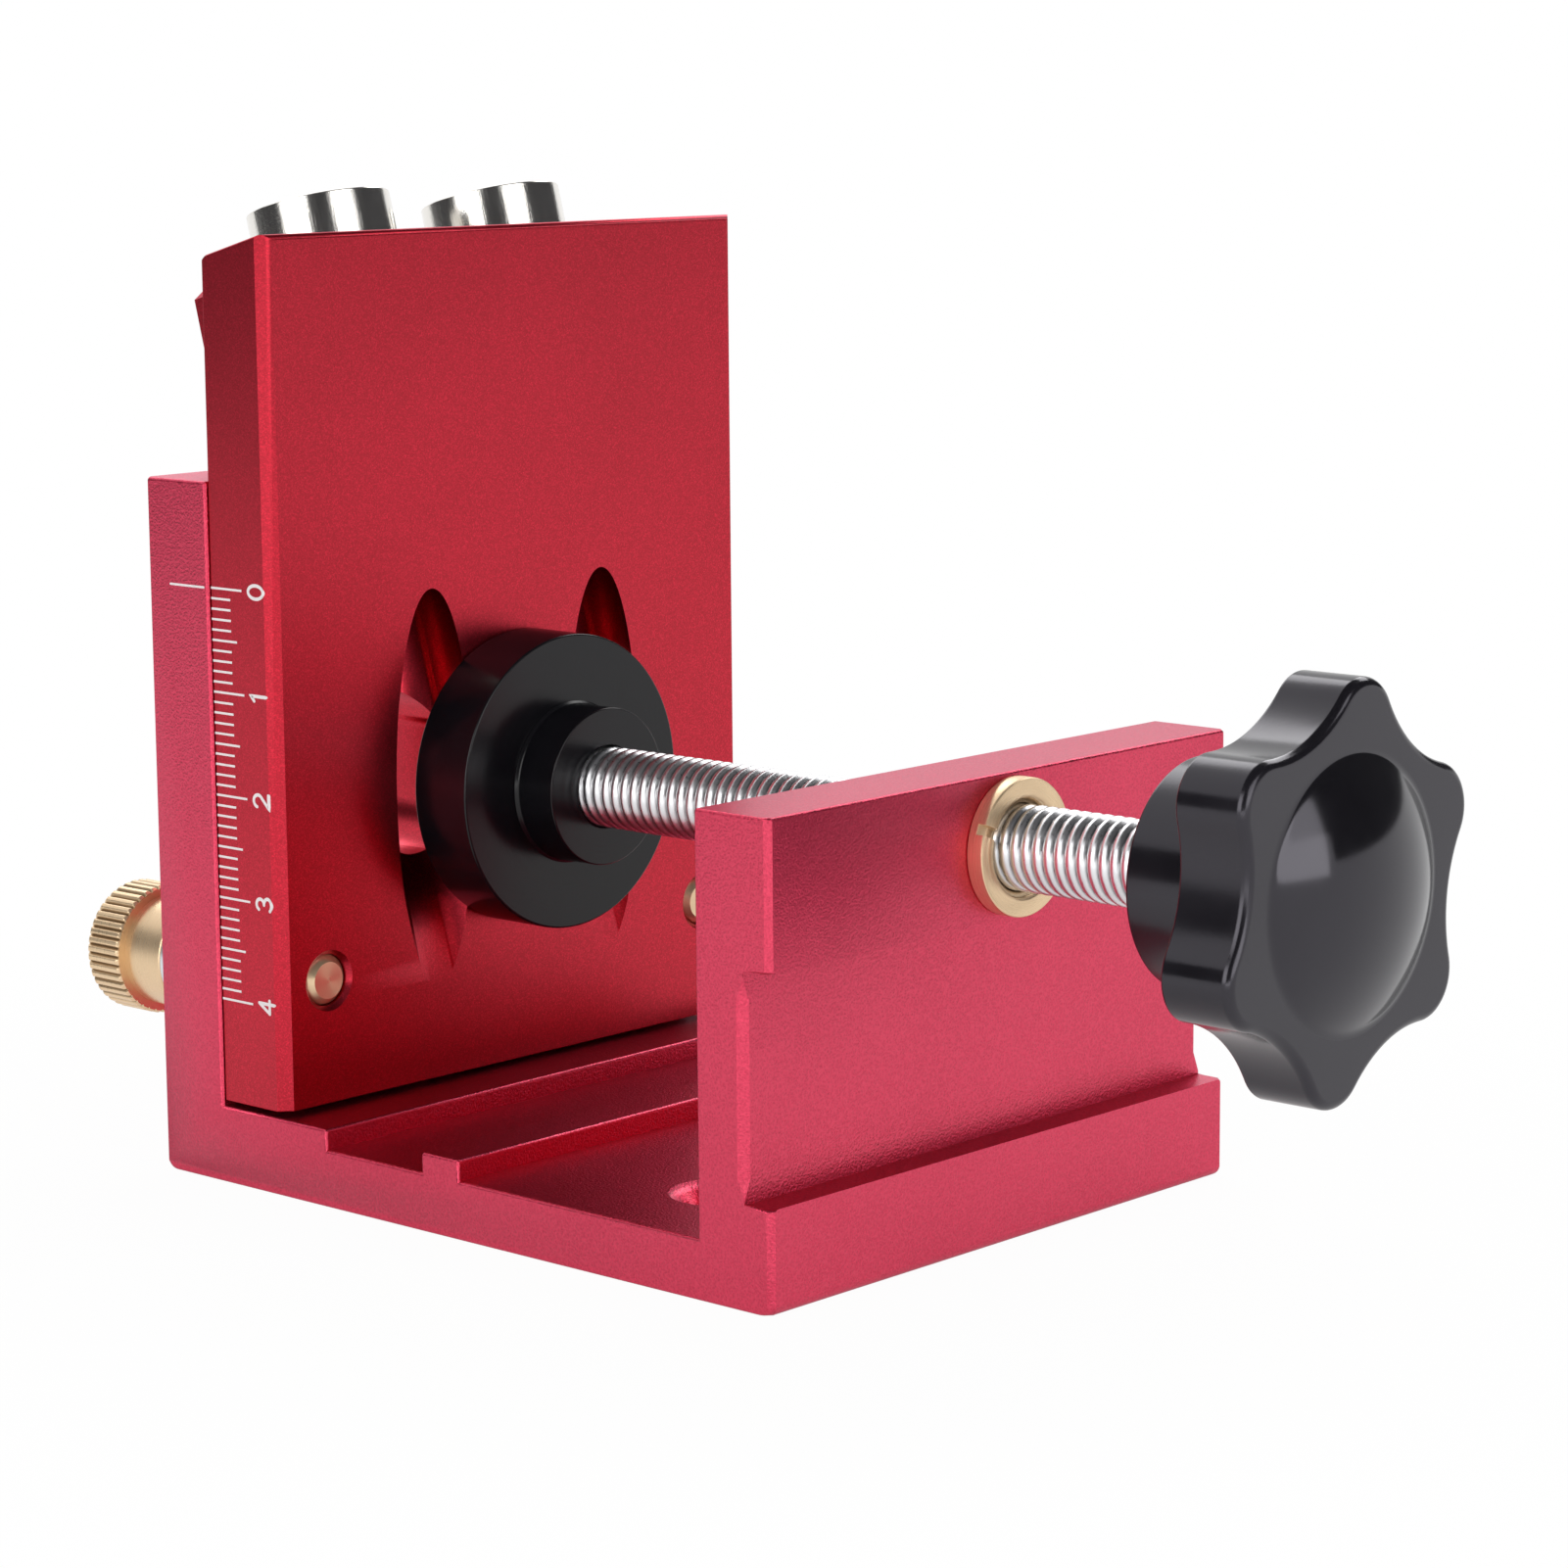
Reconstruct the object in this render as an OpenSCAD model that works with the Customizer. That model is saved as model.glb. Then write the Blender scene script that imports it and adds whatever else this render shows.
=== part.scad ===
// Drilling jig with two slanted guide bores, a sliding guide block and a screw clamp.
// Millimetres, +Z up. The origin is the centre of the base's underside, the clamp screw runs along +X.

/* [Base] */
// Length of the base along the clamp screw
base_length = 81; // [76:0.5:110]
// Width of the base across the clamp screw
base_width = 65.4; // [62:0.2:90]
// Thickness of the floor
floor_thickness = 5.6; // [4.6:0.1:8]
// Thickness of the back wall
back_wall_thickness = 8.9; // [7:0.1:12]
// Height of the back wall
back_wall_height = 68.4; // [66.5:0.1:78]
// Thickness of the front wall
front_wall_thickness = 8.7; // [7:0.1:11]
// Height of the front wall
front_wall_height = 43.9; // [40:0.1:48]
// Height of the lip along the top of the front wall
lip_height = 13.6; // [13:0.1:16]
// Height of the foot along the bottom of the front wall
foot_height = 9.6; // [7:0.1:14]
// Depth of the recess between lip and foot
recess_depth = 3.1; // [1:0.1:4]
// Height of the land and the rib above the floor
land_step = 2; // [1:0.1:2.3]
// Length of the land in front of the back wall
land_length = 15; // [10:0.5:18]
// Clear groove between the land and the rib
groove_length = 13.1; // [8:0.1:15]
// Width of the rib
rib_width = 5; // [3:0.1:7]
// Chamfer on the outer upright edges of the base
edge_break = 0.56; // [0.2:0.02:1.2]

/* [Mounting holes] */
// Diameter of the two mounting holes
mount_hole_diameter = 5; // [4:0.1:6]
// Diameter of their countersinks at the floor
countersink_diameter = 9.8; // [8:0.1:11]
// Distance between the two mounting holes
mount_hole_spacing = 39.2; // [30:0.2:46]
// Distance from the front wall's inner face to the mounting holes
mount_hole_inset = 9.4; // [7:0.1:12]

/* [Guide block] */
// Height of the guide block at its front face
block_height = 83.9; // [81:0.1:92]
// Thickness of the guide block's plate
plate_thickness = 8.7; // [7.5:0.1:11]
// Gap between each end of the guide block and the base's end
block_inset = 0.35; // [0.1:0.05:1]
// Chamfer on the guide block's front upright edges
block_chamfer = 1.13; // [0.5:0.01:2]
// Small chamfer along the guide block's slanted top
top_chamfer = 0.6; // [0.2:0.1:0.8]
// Chamfer round the rim of the rear boss
boss_chamfer = 1.2; // [0.5:0.1:2]
// Wall of the rear boss outside the drill bushes
boss_wall = 2.6; // [2:0.1:3.2]
// Depth of the upright foot under the rear boss, round the chip slots
boss_foot_depth = 3.4; // [2:0.1:4.5]
// How far the guide block slides up
block_travel = 40; // [20:1:41]

/* [Drilling] */
// Angle between the drill bores and the front face
drill_angle = 15; // [13:0.5:16]
// Diameter of the slanted bores below the bushes
drill_bore_diameter = 10.2; // [9.8:0.1:11]
// Distance between the two bores
drill_spacing = 23.5; // [20:0.5:24]
// Height at which a bore's axis meets the front face
drill_height = 37.2; // [36:0.1:39]
// Outer diameter of a drill bush
bush_diameter = 14.3; // [13:0.1:15]
// Bore of a drill bush
bush_bore_diameter = 9.5; // [8:0.1:9.7]
// Length of a drill bush
bush_length = 26; // [18:0.5:30]
// How far a drill bush stands out of the block
bush_stand = 5.8; // [3:0.1:8]
// Width of the chip slot behind each bore
chip_slot_width = 9; // [3:0.1:9.6]
// Height of the chip slot
chip_slot_height = 16.2; // [10:0.1:18]

/* [Thumb screws] */
// Thread diameter of the thumb screws
thumb_thread_diameter = 5; // [4:0.1:5.4]
// Distance between the thumb screws
thumb_spacing = 52.6; // [51.6:0.1:53.6]
// Height of the thumb screws above the underside when the block is down
thumb_height = 20.2; // [18:0.1:21]
// Diameter of the knurled head
knurl_diameter = 13; // [10:0.1:15]
// Length of the knurled head
knurl_length = 4.9; // [3:0.1:8]
// Number of teeth of the knurl
knurl_teeth = 44; // [30:1:60]
// Depth of the knurl
knurl_depth = 0.3; // [0.1:0.05:0.5]
// Diameter of the smooth collar
collar_diameter = 11; // [9:0.1:12]
// Length of the smooth collar
collar_length = 5.2; // [3:0.1:8]
// Thickness of the washer
washer_thickness = 1.1; // [0.8:0.1:1.6]
// Diameter of the turned face on the screw's tip
thumb_tip_diameter = 3.5; // [2:0.1:3.8]
// Diameter of the countersink round the tip
tip_countersink_diameter = 6; // [5.6:0.1:7]

/* [Clamp] */
// Thread diameter of the clamp screw
screw_diameter = 8; // [6:0.1:8.6]
// Diameter of the clamp bush's flange
flange_diameter = 12.8; // [12.4:0.1:13]
// Thickness of the clamp bush's flange
flange_thickness = 1.8; // [1.2:0.1:3]
// Diameter of the clamp bush's sleeve
sleeve_diameter = 10.4; // [10:0.1:11.4]
// Width of the driver slots in the flange
driver_slot_width = 1; // [0.6:0.1:1.6]
// Diameter of the pad
pad_diameter = 29.4; // [24:0.1:36]
// Thickness of the pad
pad_thickness = 7.1; // [6.6:0.1:10]
// Diameter of the collar on the pad
hub_diameter = 15.6; // [14.6:0.1:18]
// How far the collar stands out of the pad
hub_length = 4.9; // [3:0.1:8]
// Gap between the clamp bush and the knob when the clamp is closed
knob_standoff = 19.1; // [5:0.1:30]

/* [Knob] */
// Diameter over the knob's lobes
knob_diameter = 37.2; // [34:0.2:44]
// Radius of a lobe's tip
lobe_radius = 4.3; // [3:0.1:5]
// Depth of the hollows between the lobes
lobe_depth = 3.4; // [2:0.1:4]
// Thickness of the lobed disc
knob_thickness = 7.2; // [6.4:0.1:12]
// Diameter of the round hub behind the lobes
knob_hub_diameter = 20.8; // [16:0.1:24]
// Length of the round hub
knob_hub_length = 9.2; // [5:0.1:12]
// Diameter of the domed cap
cap_diameter = 25; // [22:0.1:26]
// How far the cap's round edge stands out of the knob's face
cap_rim = 0.2; // [0.2:0.1:1.5]
// Height of the cap's dome above its round edge
cap_height = 3.6; // [2:0.1:6]
// Width across the flats of the hexagon nut
nut_width = 13; // [12:0.1:15]

/* [Hidden] */
$fn = 96;
red = [0.72, 0.05, 0.13];
brass = [0.85, 0.66, 0.38];
steel = [0.78, 0.78, 0.8];
black = [0.04, 0.04, 0.045];
lobes = 6;
nut_sides = 6;
overshoot = 1;
reach = base_length + block_height;

// Clearances: flat sliding faces, running fits, seated fits and wide gaps
slide_gap = 0.1;
running_fit = 0.05;
seat_fit = 0.02;
wide_gap = 0.3;
block_lift = 0.5;
pad_gap = 0.15;

// Base planes
back_x = -base_length / 2;
front_x = base_length / 2;
seat_x = back_x + back_wall_thickness;
inner_x = front_x - front_wall_thickness;
recess_x = front_x - recess_depth;
lip_z = front_wall_height - lip_height;
land_z = floor_thickness + land_step;
land_x = seat_x + land_length;
rib_x = land_x + groove_length;
mount_hole_x = inner_x - mount_hole_inset;
countersink_depth = (countersink_diameter - mount_hole_diameter) / 2;

// Guide block planes
block_back_x = seat_x + slide_gap;
face_x = block_back_x + plate_thickness;
block_width = base_width - 2 * block_inset;
block_z = land_z + block_lift;
top_z = block_z + block_height;
top_s = (top_z - drill_height) * cos(drill_angle);
bush_s = top_s + bush_stand - bush_length;
boss_reach = bush_diameter / 2 + boss_wall;
boss_half_width = drill_spacing / 2 + boss_reach;
chip_slot_rise = 1.1;
chip_slot_skin = 2.2;
chip_slot_z = drill_height + chip_slot_rise;
chip_slot_wall = 2;
boss_foot_half = (drill_spacing + chip_slot_width) / 2 + chip_slot_wall;
boss_foot_z = chip_slot_z - chip_slot_height / 2 - chip_slot_wall;
boss_foot_top = drill_height
    + (plate_thickness + boss_foot_depth - boss_reach / cos(drill_angle)) / tan(drill_angle);

// Back wall openings
window_half_width = boss_half_width + wide_gap;
window_radius = 4;
window_z = chip_slot_z - chip_slot_height / 2 - window_radius;
thumb_y = thumb_spacing / 2;
slot_width = thumb_thread_diameter + 2 * wide_gap;

// Thumb screw lengths along +X from the collar's seat
collar_x = back_x - washer_thickness;
thumb_length = face_x - collar_x - seat_fit;
tip_chamfer = (thumb_thread_diameter - thumb_tip_diameter) / 2;
tip_countersink_depth = (tip_countersink_diameter - thumb_thread_diameter) / 2;
tooth_pitch = 360 / knurl_teeth;

// Clamp chain along +X, closed on the guide block
clamp_z = front_wall_height - lip_height / 2;
pad_x = face_x + pad_gap;
hub_x = pad_x + pad_thickness;
hub_face_x = hub_x + hub_length;
flange_x = front_x + flange_thickness;
knob_x = flange_x + knob_standoff;
lobe_x = knob_x + knob_hub_length;
knob_face_x = lobe_x + knob_thickness;
cap_radius = cap_diameter / 2;
cap_sphere_radius = (cap_radius * cap_radius + cap_height * cap_height) / (2 * cap_height);

// Swivel inside the pad: screw head, its pocket and the collar's spigot
pad_floor = 2;
head_length = 2;
head_step = 1.2;
spigot_step = 1;
head_diameter = screw_diameter + 2 * head_step;
pocket_diameter = head_diameter + 2 * wide_gap;
spigot_diameter = pocket_diameter + 2 * spigot_step;
head_x = pad_x + pad_floor + running_fit;
spigot_x = head_x + head_length + running_fit;

// Knob outline
tip_radius = knob_diameter / 2;
valley_radius = tip_radius - lobe_depth;
lobe_centre = tip_radius - lobe_radius;
half_pitch = 180 / lobes;
valley_square = lobe_centre * lobe_centre + valley_radius * valley_radius;
valley_overlap = 2 * lobe_centre * valley_radius * cos(half_pitch);
valley_span = 2 * (lobe_radius - valley_radius + lobe_centre * cos(half_pitch));
hollow_radius = (valley_square - valley_overlap - lobe_radius * lobe_radius) / valley_span;
hollow_centre = valley_radius + hollow_radius;
lobe_turn = 22.5;
lobe_bite = 0.03;

// Nut pocket and cap seat inside the knob
cap_seat = 1.2;
nut_height = 5;
nut_x = knob_face_x - cap_seat - nut_height;
nut_radius = nut_width / 2 / cos(180 / nut_sides);

// Profile of the base, drawn in X and Z and run along Y
base_profile = [
    [back_x, 0], [front_x, 0], [front_x, foot_height], [recess_x, foot_height], [recess_x, lip_z],
    [front_x, lip_z], [front_x, front_wall_height], [inner_x, front_wall_height],
    [inner_x, floor_thickness], [rib_x + rib_width, floor_thickness], [rib_x + rib_width, land_z],
    [rib_x, land_z], [rib_x, floor_thickness], [land_x, floor_thickness], [land_x, land_z],
    [seat_x, land_z], [seat_x, back_wall_height], [back_x, back_wall_height]
];

// A shape drawn in X and Z, run along Y
module along_y(width) {
    rotate([90, 0, 0])
        linear_extrude(height = width, center = true)
            children();
}

// A shape drawn in Y and Z, run along +X from a plane
module along_x(start, length) {
    translate([start, 0, 0])
        rotate([90, 0, 90])
            linear_extrude(height = length)
                children();
}

// A turned shape drawn as radius and distance, its axis along +X
module turned_x(start, y, z) {
    translate([start, y, z])
        rotate([0, 90, 0])
            rotate_extrude()
                children();
}

// A cylinder along +X
module rod_x(start, length, y, z, radius) {
    translate([start, y, z])
        rotate([0, 90, 0])
            cylinder(h = length, r = radius);
}

// Children move into the frame of a drill bore, its axis along +Z
module drill_frame(y) {
    translate([face_x, y, drill_height])
        rotate([0, -drill_angle, 0])
            children();
}

// Rectangle with its corners cut off
module cut_rectangle(length, width, cut) {
    x = length / 2;
    y = width / 2;
    polygon([[-x + cut, -y], [x - cut, -y], [x, -y + cut], [x, y - cut], [x - cut, y], [-x + cut, y],
             [-x, y - cut], [-x, -y + cut]]);
}

// Upright slot with round ends
module upright_slot(y, low, high, width) {
    translate([y, low])
        circle(d = width);
    translate([y, high])
        circle(d = width);
    translate([y - width / 2, low])
        square([width, high - low]);
}

// Opening for the rear boss, open at the top of the back wall
module window_shape() {
    inner = window_half_width - window_radius;
    for (side = [-1, 1])
        translate([side * inner, window_z + window_radius])
            circle(r = window_radius);
    translate([-inner, window_z])
        square([2 * inner, reach + back_wall_height]);
    translate([-window_half_width, window_z + window_radius])
        square([2 * window_half_width, reach + back_wall_height]);
}

module mounting_hole(y) {
    translate([mount_hole_x, y, -overshoot])
        cylinder(h = floor_thickness + 2 * overshoot, d = mount_hole_diameter);
    translate([mount_hole_x, y, floor_thickness - countersink_depth])
        cylinder(h = countersink_depth + overshoot, d1 = mount_hole_diameter,
                 d2 = countersink_diameter + 2 * overshoot);
}

module base_channel() {
    color(red)
        difference() {
            intersection() {
                along_y(base_width)
                    polygon(base_profile);
                linear_extrude(height = back_wall_height + front_wall_height)
                    cut_rectangle(base_length, base_width, edge_break);
            }
            along_x(back_x - overshoot, back_wall_thickness + 2 * overshoot)
                window_shape();
            for (side = [-1, 1]) {
                along_x(back_x - overshoot, back_wall_thickness + 2 * overshoot)
                    upright_slot(side * thumb_y, thumb_height, thumb_height + block_travel, slot_width);
                mounting_hole(side * mount_hole_spacing / 2);
            }
            rod_x(inner_x - overshoot, front_wall_thickness + 2 * overshoot, 0, clamp_z,
                  sleeve_diameter / 2 + seat_fit);
        }
}

// Full-width plate of the guide block
module block_plate() {
    drop = (plate_thickness - top_chamfer) * tan(drill_angle);
    intersection() {
        along_y(block_width)
            polygon([[block_back_x, block_z], [face_x, block_z], [face_x, top_z - top_chamfer],
                     [face_x - top_chamfer, top_z - top_chamfer * tan(drill_angle)],
                     [block_back_x + top_chamfer, top_z - drop],
                     [block_back_x, top_z - drop - top_chamfer]]);
        translate([block_back_x, 0, 0])
            linear_extrude(height = top_z + overshoot)
                polygon([[0, -block_width / 2], [plate_thickness - block_chamfer, -block_width / 2],
                         [plate_thickness, block_chamfer - block_width / 2],
                         [plate_thickness, block_width / 2 - block_chamfer],
                         [plate_thickness - block_chamfer, block_width / 2], [0, block_width / 2]]);
    }
}

// Slanted boss behind the plate, in line with the bores
module rear_boss() {
    half = boss_half_width;
    intersection() {
        drill_frame(0)
            intersection() {
                along_y(2 * half)
                    polygon([[-boss_reach, -reach], [reach, -reach], [reach, top_s],
                             [boss_chamfer - boss_reach, top_s], [-boss_reach, top_s - boss_chamfer]]);
                along_x(-reach, 2 * reach)
                    polygon([[-half, -reach], [half, -reach], [half, top_s - boss_chamfer],
                             [half - boss_chamfer, top_s], [boss_chamfer - half, top_s],
                             [-half, top_s - boss_chamfer]]);
            }
        translate([face_x - reach - plate_thickness / 2, -base_width / 2, block_z])
            cube([reach, base_width, 2 * block_height]);
    }
}

// Upright foot under the boss, round the chip slots
module boss_foot() {
    translate([block_back_x - boss_foot_depth, -boss_foot_half, boss_foot_z])
        cube([boss_foot_depth + plate_thickness / 2, 2 * boss_foot_half,
              boss_foot_top + overshoot - boss_foot_z]);
}

module guide_block() {
    color(red)
        difference() {
            union() {
                block_plate();
                rear_boss();
                boss_foot();
            }
            for (side = [-1, 1]) {
                drill_frame(side * drill_spacing / 2) {
                    translate([0, 0, -reach])
                        cylinder(h = 2 * reach, d = drill_bore_diameter);
                    translate([0, 0, bush_s])
                        cylinder(h = reach, r = bush_diameter / 2 + seat_fit);
                }
                along_x(face_x - reach, reach - chip_slot_skin)
                    upright_slot(side * drill_spacing / 2,
                                 chip_slot_z - (chip_slot_height - chip_slot_width) / 2,
                                 chip_slot_z + (chip_slot_height - chip_slot_width) / 2, chip_slot_width);
                rod_x(block_back_x - overshoot, plate_thickness + 2 * overshoot, side * thumb_y, thumb_height,
                      thumb_thread_diameter / 2 + running_fit);
                translate([face_x - tip_countersink_depth, side * thumb_y, thumb_height])
                    rotate([0, 90, 0])
                        cylinder(h = tip_countersink_depth + overshoot, d1 = thumb_thread_diameter,
                                 d2 = tip_countersink_diameter + 2 * overshoot);
            }
        }
}

module drill_bush(side) {
    outer = bush_diameter / 2;
    inner = bush_bore_diameter / 2;
    break = 0.5;
    color(steel)
        drill_frame(side * drill_spacing / 2)
            translate([0, 0, bush_s])
                rotate_extrude()
                    polygon([[inner, 0], [outer - break, 0], [outer, break], [outer, bush_length - break],
                             [outer - break, bush_length], [inner + 2 * break, bush_length],
                             [inner, bush_length - 2 * break]]);
}

module left_drill_bush() {
    drill_bush(-1);
}

module right_drill_bush() {
    drill_bush(1);
}

// Toothed outline of the knurled head
module knurl_shape() {
    outer = knurl_diameter / 2;
    root = outer - knurl_depth;
    land = tooth_pitch / 6;
    polygon([for (tooth = [0 : knurl_teeth - 1], corner = [[root, -2 * land], [outer, -land],
                                                           [outer, land], [root, 2 * land]])
        [corner[0] * cos(tooth * tooth_pitch + corner[1]), corner[0] * sin(tooth * tooth_pitch + corner[1])]]);
}

module thumb_screw(side) {
    collar = collar_diameter / 2;
    thread = thumb_thread_diameter / 2;
    break = 0.3;
    color(brass) {
        translate([0, side * thumb_y, thumb_height])
            along_x(collar_x - collar_length - knurl_length, knurl_length)
                knurl_shape();
        turned_x(collar_x - collar_length, side * thumb_y, thumb_height)
            polygon([[0, -overshoot], [collar - break, -overshoot], [collar - break, 0],
                     [collar, 0], [collar, collar_length - break], [collar - break, collar_length],
                     [thread, collar_length], [thread, collar_length + thumb_length - tip_chamfer],
                     [thread - tip_chamfer, collar_length + thumb_length], [0, collar_length + thumb_length]]);
    }
}

module left_thumb_screw() {
    thumb_screw(-1);
}

module right_thumb_screw() {
    thumb_screw(1);
}

module thumb_washer(side) {
    hole = thumb_thread_diameter / 2 + wide_gap;
    color(steel)
        turned_x(collar_x + seat_fit, side * thumb_y, thumb_height)
            translate([hole, 0])
                square([collar_diameter / 2 - hole, washer_thickness - 2 * seat_fit]);
}

module left_thumb_washer() {
    thumb_washer(-1);
}

module right_thumb_washer() {
    thumb_washer(1);
}

module clamp_bush() {
    flange = flange_diameter / 2;
    sleeve = sleeve_diameter / 2;
    bore = screw_diameter / 2 + running_fit;
    length = front_wall_thickness + flange_thickness;
    break = 0.4;
    flare = 0.7;
    color(brass)
        difference() {
            turned_x(inner_x, 0, clamp_z)
                polygon([[bore, 0], [sleeve - break, 0], [sleeve, break], [sleeve, front_wall_thickness],
                         [flange, front_wall_thickness], [flange, length - break], [flange - break, length],
                         [bore + flare, length], [bore, length - flare]]);
            translate([front_x + flange_thickness / 2, -reach, clamp_z - driver_slot_width / 2])
                cube([flange_thickness, 2 * reach, driver_slot_width]);
        }
}

module clamp_screw() {
    thread = screw_diameter / 2;
    head = head_diameter / 2;
    end = nut_x + nut_height;
    break = 0.6;
    color(steel)
        turned_x(head_x, 0, clamp_z)
            polygon([[0, 0], [head, 0], [head, head_length], [thread, head_length],
                     [thread, end - head_x - break], [thread - break, end - head_x], [0, end - head_x]]);
}

module clamp_pad() {
    outer = pad_diameter / 2;
    pocket = pocket_diameter / 2;
    seat = spigot_diameter / 2 + seat_fit;
    break = 0.4;
    color(black)
        turned_x(pad_x, 0, clamp_z)
            polygon([[0, 0], [outer - break, 0], [outer, break], [outer, pad_thickness - break],
                     [outer - break, pad_thickness], [seat, pad_thickness],
                     [seat, spigot_x - pad_x], [pocket, spigot_x - pad_x], [pocket, pad_floor], [0, pad_floor]]);
}

module pad_collar() {
    hub = hub_diameter / 2;
    bore = screw_diameter / 2 + wide_gap;
    spigot = spigot_diameter / 2;
    rise = hub_x - spigot_x;
    break = 0.4;
    color(black)
        turned_x(spigot_x, 0, clamp_z)
            polygon([[bore, 0], [spigot, 0], [spigot, rise + seat_fit], [hub, rise + seat_fit],
                     [hub, rise + hub_length - break], [hub - break, rise + hub_length],
                     [bore + break, rise + hub_length], [bore, rise + hub_length - break]]);
}

// Outline of the lobed disc: round lobes, and hollows that just cut into them
module lobe_shape() {
    rotate(lobe_turn)
        difference() {
            union() {
                for (lobe = [0 : lobes - 1])
                    rotate(lobe * 2 * half_pitch)
                        translate([lobe_centre, 0])
                            circle(r = lobe_radius);
                polygon([for (lobe = [0 : lobes - 1], spot = [[0, lobe_centre], [1, hollow_centre]])
                    spot[1] * [cos((2 * lobe + spot[0]) * half_pitch), sin((2 * lobe + spot[0]) * half_pitch)]]);
            }
            for (lobe = [0 : lobes - 1])
                rotate((2 * lobe + 1) * half_pitch)
                    translate([hollow_centre, 0])
                        circle(r = hollow_radius + lobe_bite);
        }
}

// Hexagon with its flats a set distance apart
module nut_shape(gap) {
    circle(r = nut_radius + gap, $fn = nut_sides);
}

module clamp_knob() {
    round = 0.8;
    hub = knob_hub_diameter / 2;
    cap = cap_radius + seat_fit;
    color(black)
        difference() {
            union() {
                intersection() {
                    translate([0, 0, clamp_z])
                        along_x(lobe_x, knob_thickness)
                            lobe_shape();
                    turned_x(lobe_x, 0, clamp_z)
                        polygon([[0, 0], [tip_radius - round, 0], [tip_radius + round, 2 * round],
                                 [tip_radius + round, knob_thickness - 2 * round],
                                 [tip_radius - round, knob_thickness], [0, knob_thickness]]);
                }
                turned_x(knob_x, 0, clamp_z)
                    polygon([[0, 0], [hub - round, 0], [hub, round], [hub, knob_hub_length + overshoot],
                             [0, knob_hub_length + overshoot]]);
            }
            rod_x(knob_x - overshoot, reach, 0, clamp_z, screw_diameter / 2 + seat_fit);
            translate([0, 0, clamp_z])
                along_x(nut_x, reach)
                    nut_shape(seat_fit);
            rod_x(knob_face_x - cap_seat, reach, 0, clamp_z, cap);
        }
}

module knob_cap() {
    color(black)
        intersection() {
            rod_x(knob_face_x - cap_seat + seat_fit, reach, 0, clamp_z, cap_radius);
            translate([knob_face_x + cap_rim + cap_height - cap_sphere_radius, 0, clamp_z])
                rotate([0, 90, 0])
                    sphere(r = cap_sphere_radius);
        }
}

module knob_nut() {
    color(steel)
        difference() {
            translate([0, 0, clamp_z])
                along_x(nut_x + seat_fit, nut_height - 2 * seat_fit)
                    nut_shape(0);
            rod_x(nut_x - overshoot, reach, 0, clamp_z, screw_diameter / 2 + seat_fit);
        }
}

base_channel();
guide_block();
left_drill_bush();
right_drill_bush();
left_thumb_screw();
right_thumb_screw();
left_thumb_washer();
right_thumb_washer();
clamp_bush();
clamp_screw();
clamp_pad();
pad_collar();
clamp_knob();
knob_cap();
knob_nut();
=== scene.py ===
import math

import bmesh
import bpy
from mathutils import Matrix, Vector


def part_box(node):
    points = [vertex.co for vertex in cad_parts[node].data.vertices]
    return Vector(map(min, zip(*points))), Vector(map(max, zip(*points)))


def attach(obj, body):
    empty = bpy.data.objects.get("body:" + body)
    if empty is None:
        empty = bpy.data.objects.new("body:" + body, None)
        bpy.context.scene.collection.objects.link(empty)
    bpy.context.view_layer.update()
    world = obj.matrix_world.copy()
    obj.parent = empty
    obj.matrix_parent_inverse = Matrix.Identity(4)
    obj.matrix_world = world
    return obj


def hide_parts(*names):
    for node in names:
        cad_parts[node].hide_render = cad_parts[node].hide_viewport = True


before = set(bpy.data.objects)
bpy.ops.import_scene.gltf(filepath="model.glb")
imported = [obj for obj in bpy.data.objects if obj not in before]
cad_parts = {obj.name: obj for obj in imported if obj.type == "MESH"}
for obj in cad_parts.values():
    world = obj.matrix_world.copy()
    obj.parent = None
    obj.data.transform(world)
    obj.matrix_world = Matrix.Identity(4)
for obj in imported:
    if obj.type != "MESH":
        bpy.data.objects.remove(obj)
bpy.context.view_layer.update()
scene = bpy.context.scene

# Lengths are written in millimetres and made metres by MM
MM = 0.001
TURN = 2 * math.pi
DRILL_ANGLE = math.radians(15)

# Lengths below this count as nothing, in either unit
TINY = 1e-6
# Values between which soft noise mostly stays
NOISE_LOW, NOISE_HIGH = 0.3, 0.7
# Share of its depth from which a groove gets the full painted shade of its floor
GROOVE_FLOOR = 0.9
# Faint lilac of the sheen on black plastic
LILAC = (0.93, 0.89, 1.0, 1)


# Small helpers for nodes

def set_input(tree, socket, value):
    """Link a socket, or set it to a plain value."""
    if isinstance(value, bpy.types.NodeSocket):
        tree.links.new(value, socket)
    else:
        socket.default_value = value


def maths(tree, operation, *values):
    """One step of arithmetic in a node tree."""
    node = tree.nodes.new("ShaderNodeMath")
    node.operation = operation
    for socket, value in zip(node.inputs, values):
        set_input(tree, socket, value)
    return node.outputs[0]


def map_range(tree, value, start, end, low, high, easing="LINEAR"):
    """Carry a value from one span to another."""
    node = tree.nodes.new("ShaderNodeMapRange")
    node.interpolation_type = easing
    for socket, number in zip(node.inputs, (value, start, end, low, high)):
        set_input(tree, socket, number)
    return node.outputs[0]


# Finishes

def new_finish(name, **values):
    """A material with one Principled shader; returns the material, its tree and the shader."""
    material = bpy.data.materials.new(name)
    material.use_nodes = True
    tree = material.node_tree
    shader = tree.nodes["Principled BSDF"]
    for key, value in values.items():
        shader.inputs[key.replace("_", " ")].default_value = value
    return material, tree, shader


def object_place(tree):
    """The piece's own coordinates in metres."""
    return tree.nodes.new("ShaderNodeTexCoord").outputs["Object"]


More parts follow.
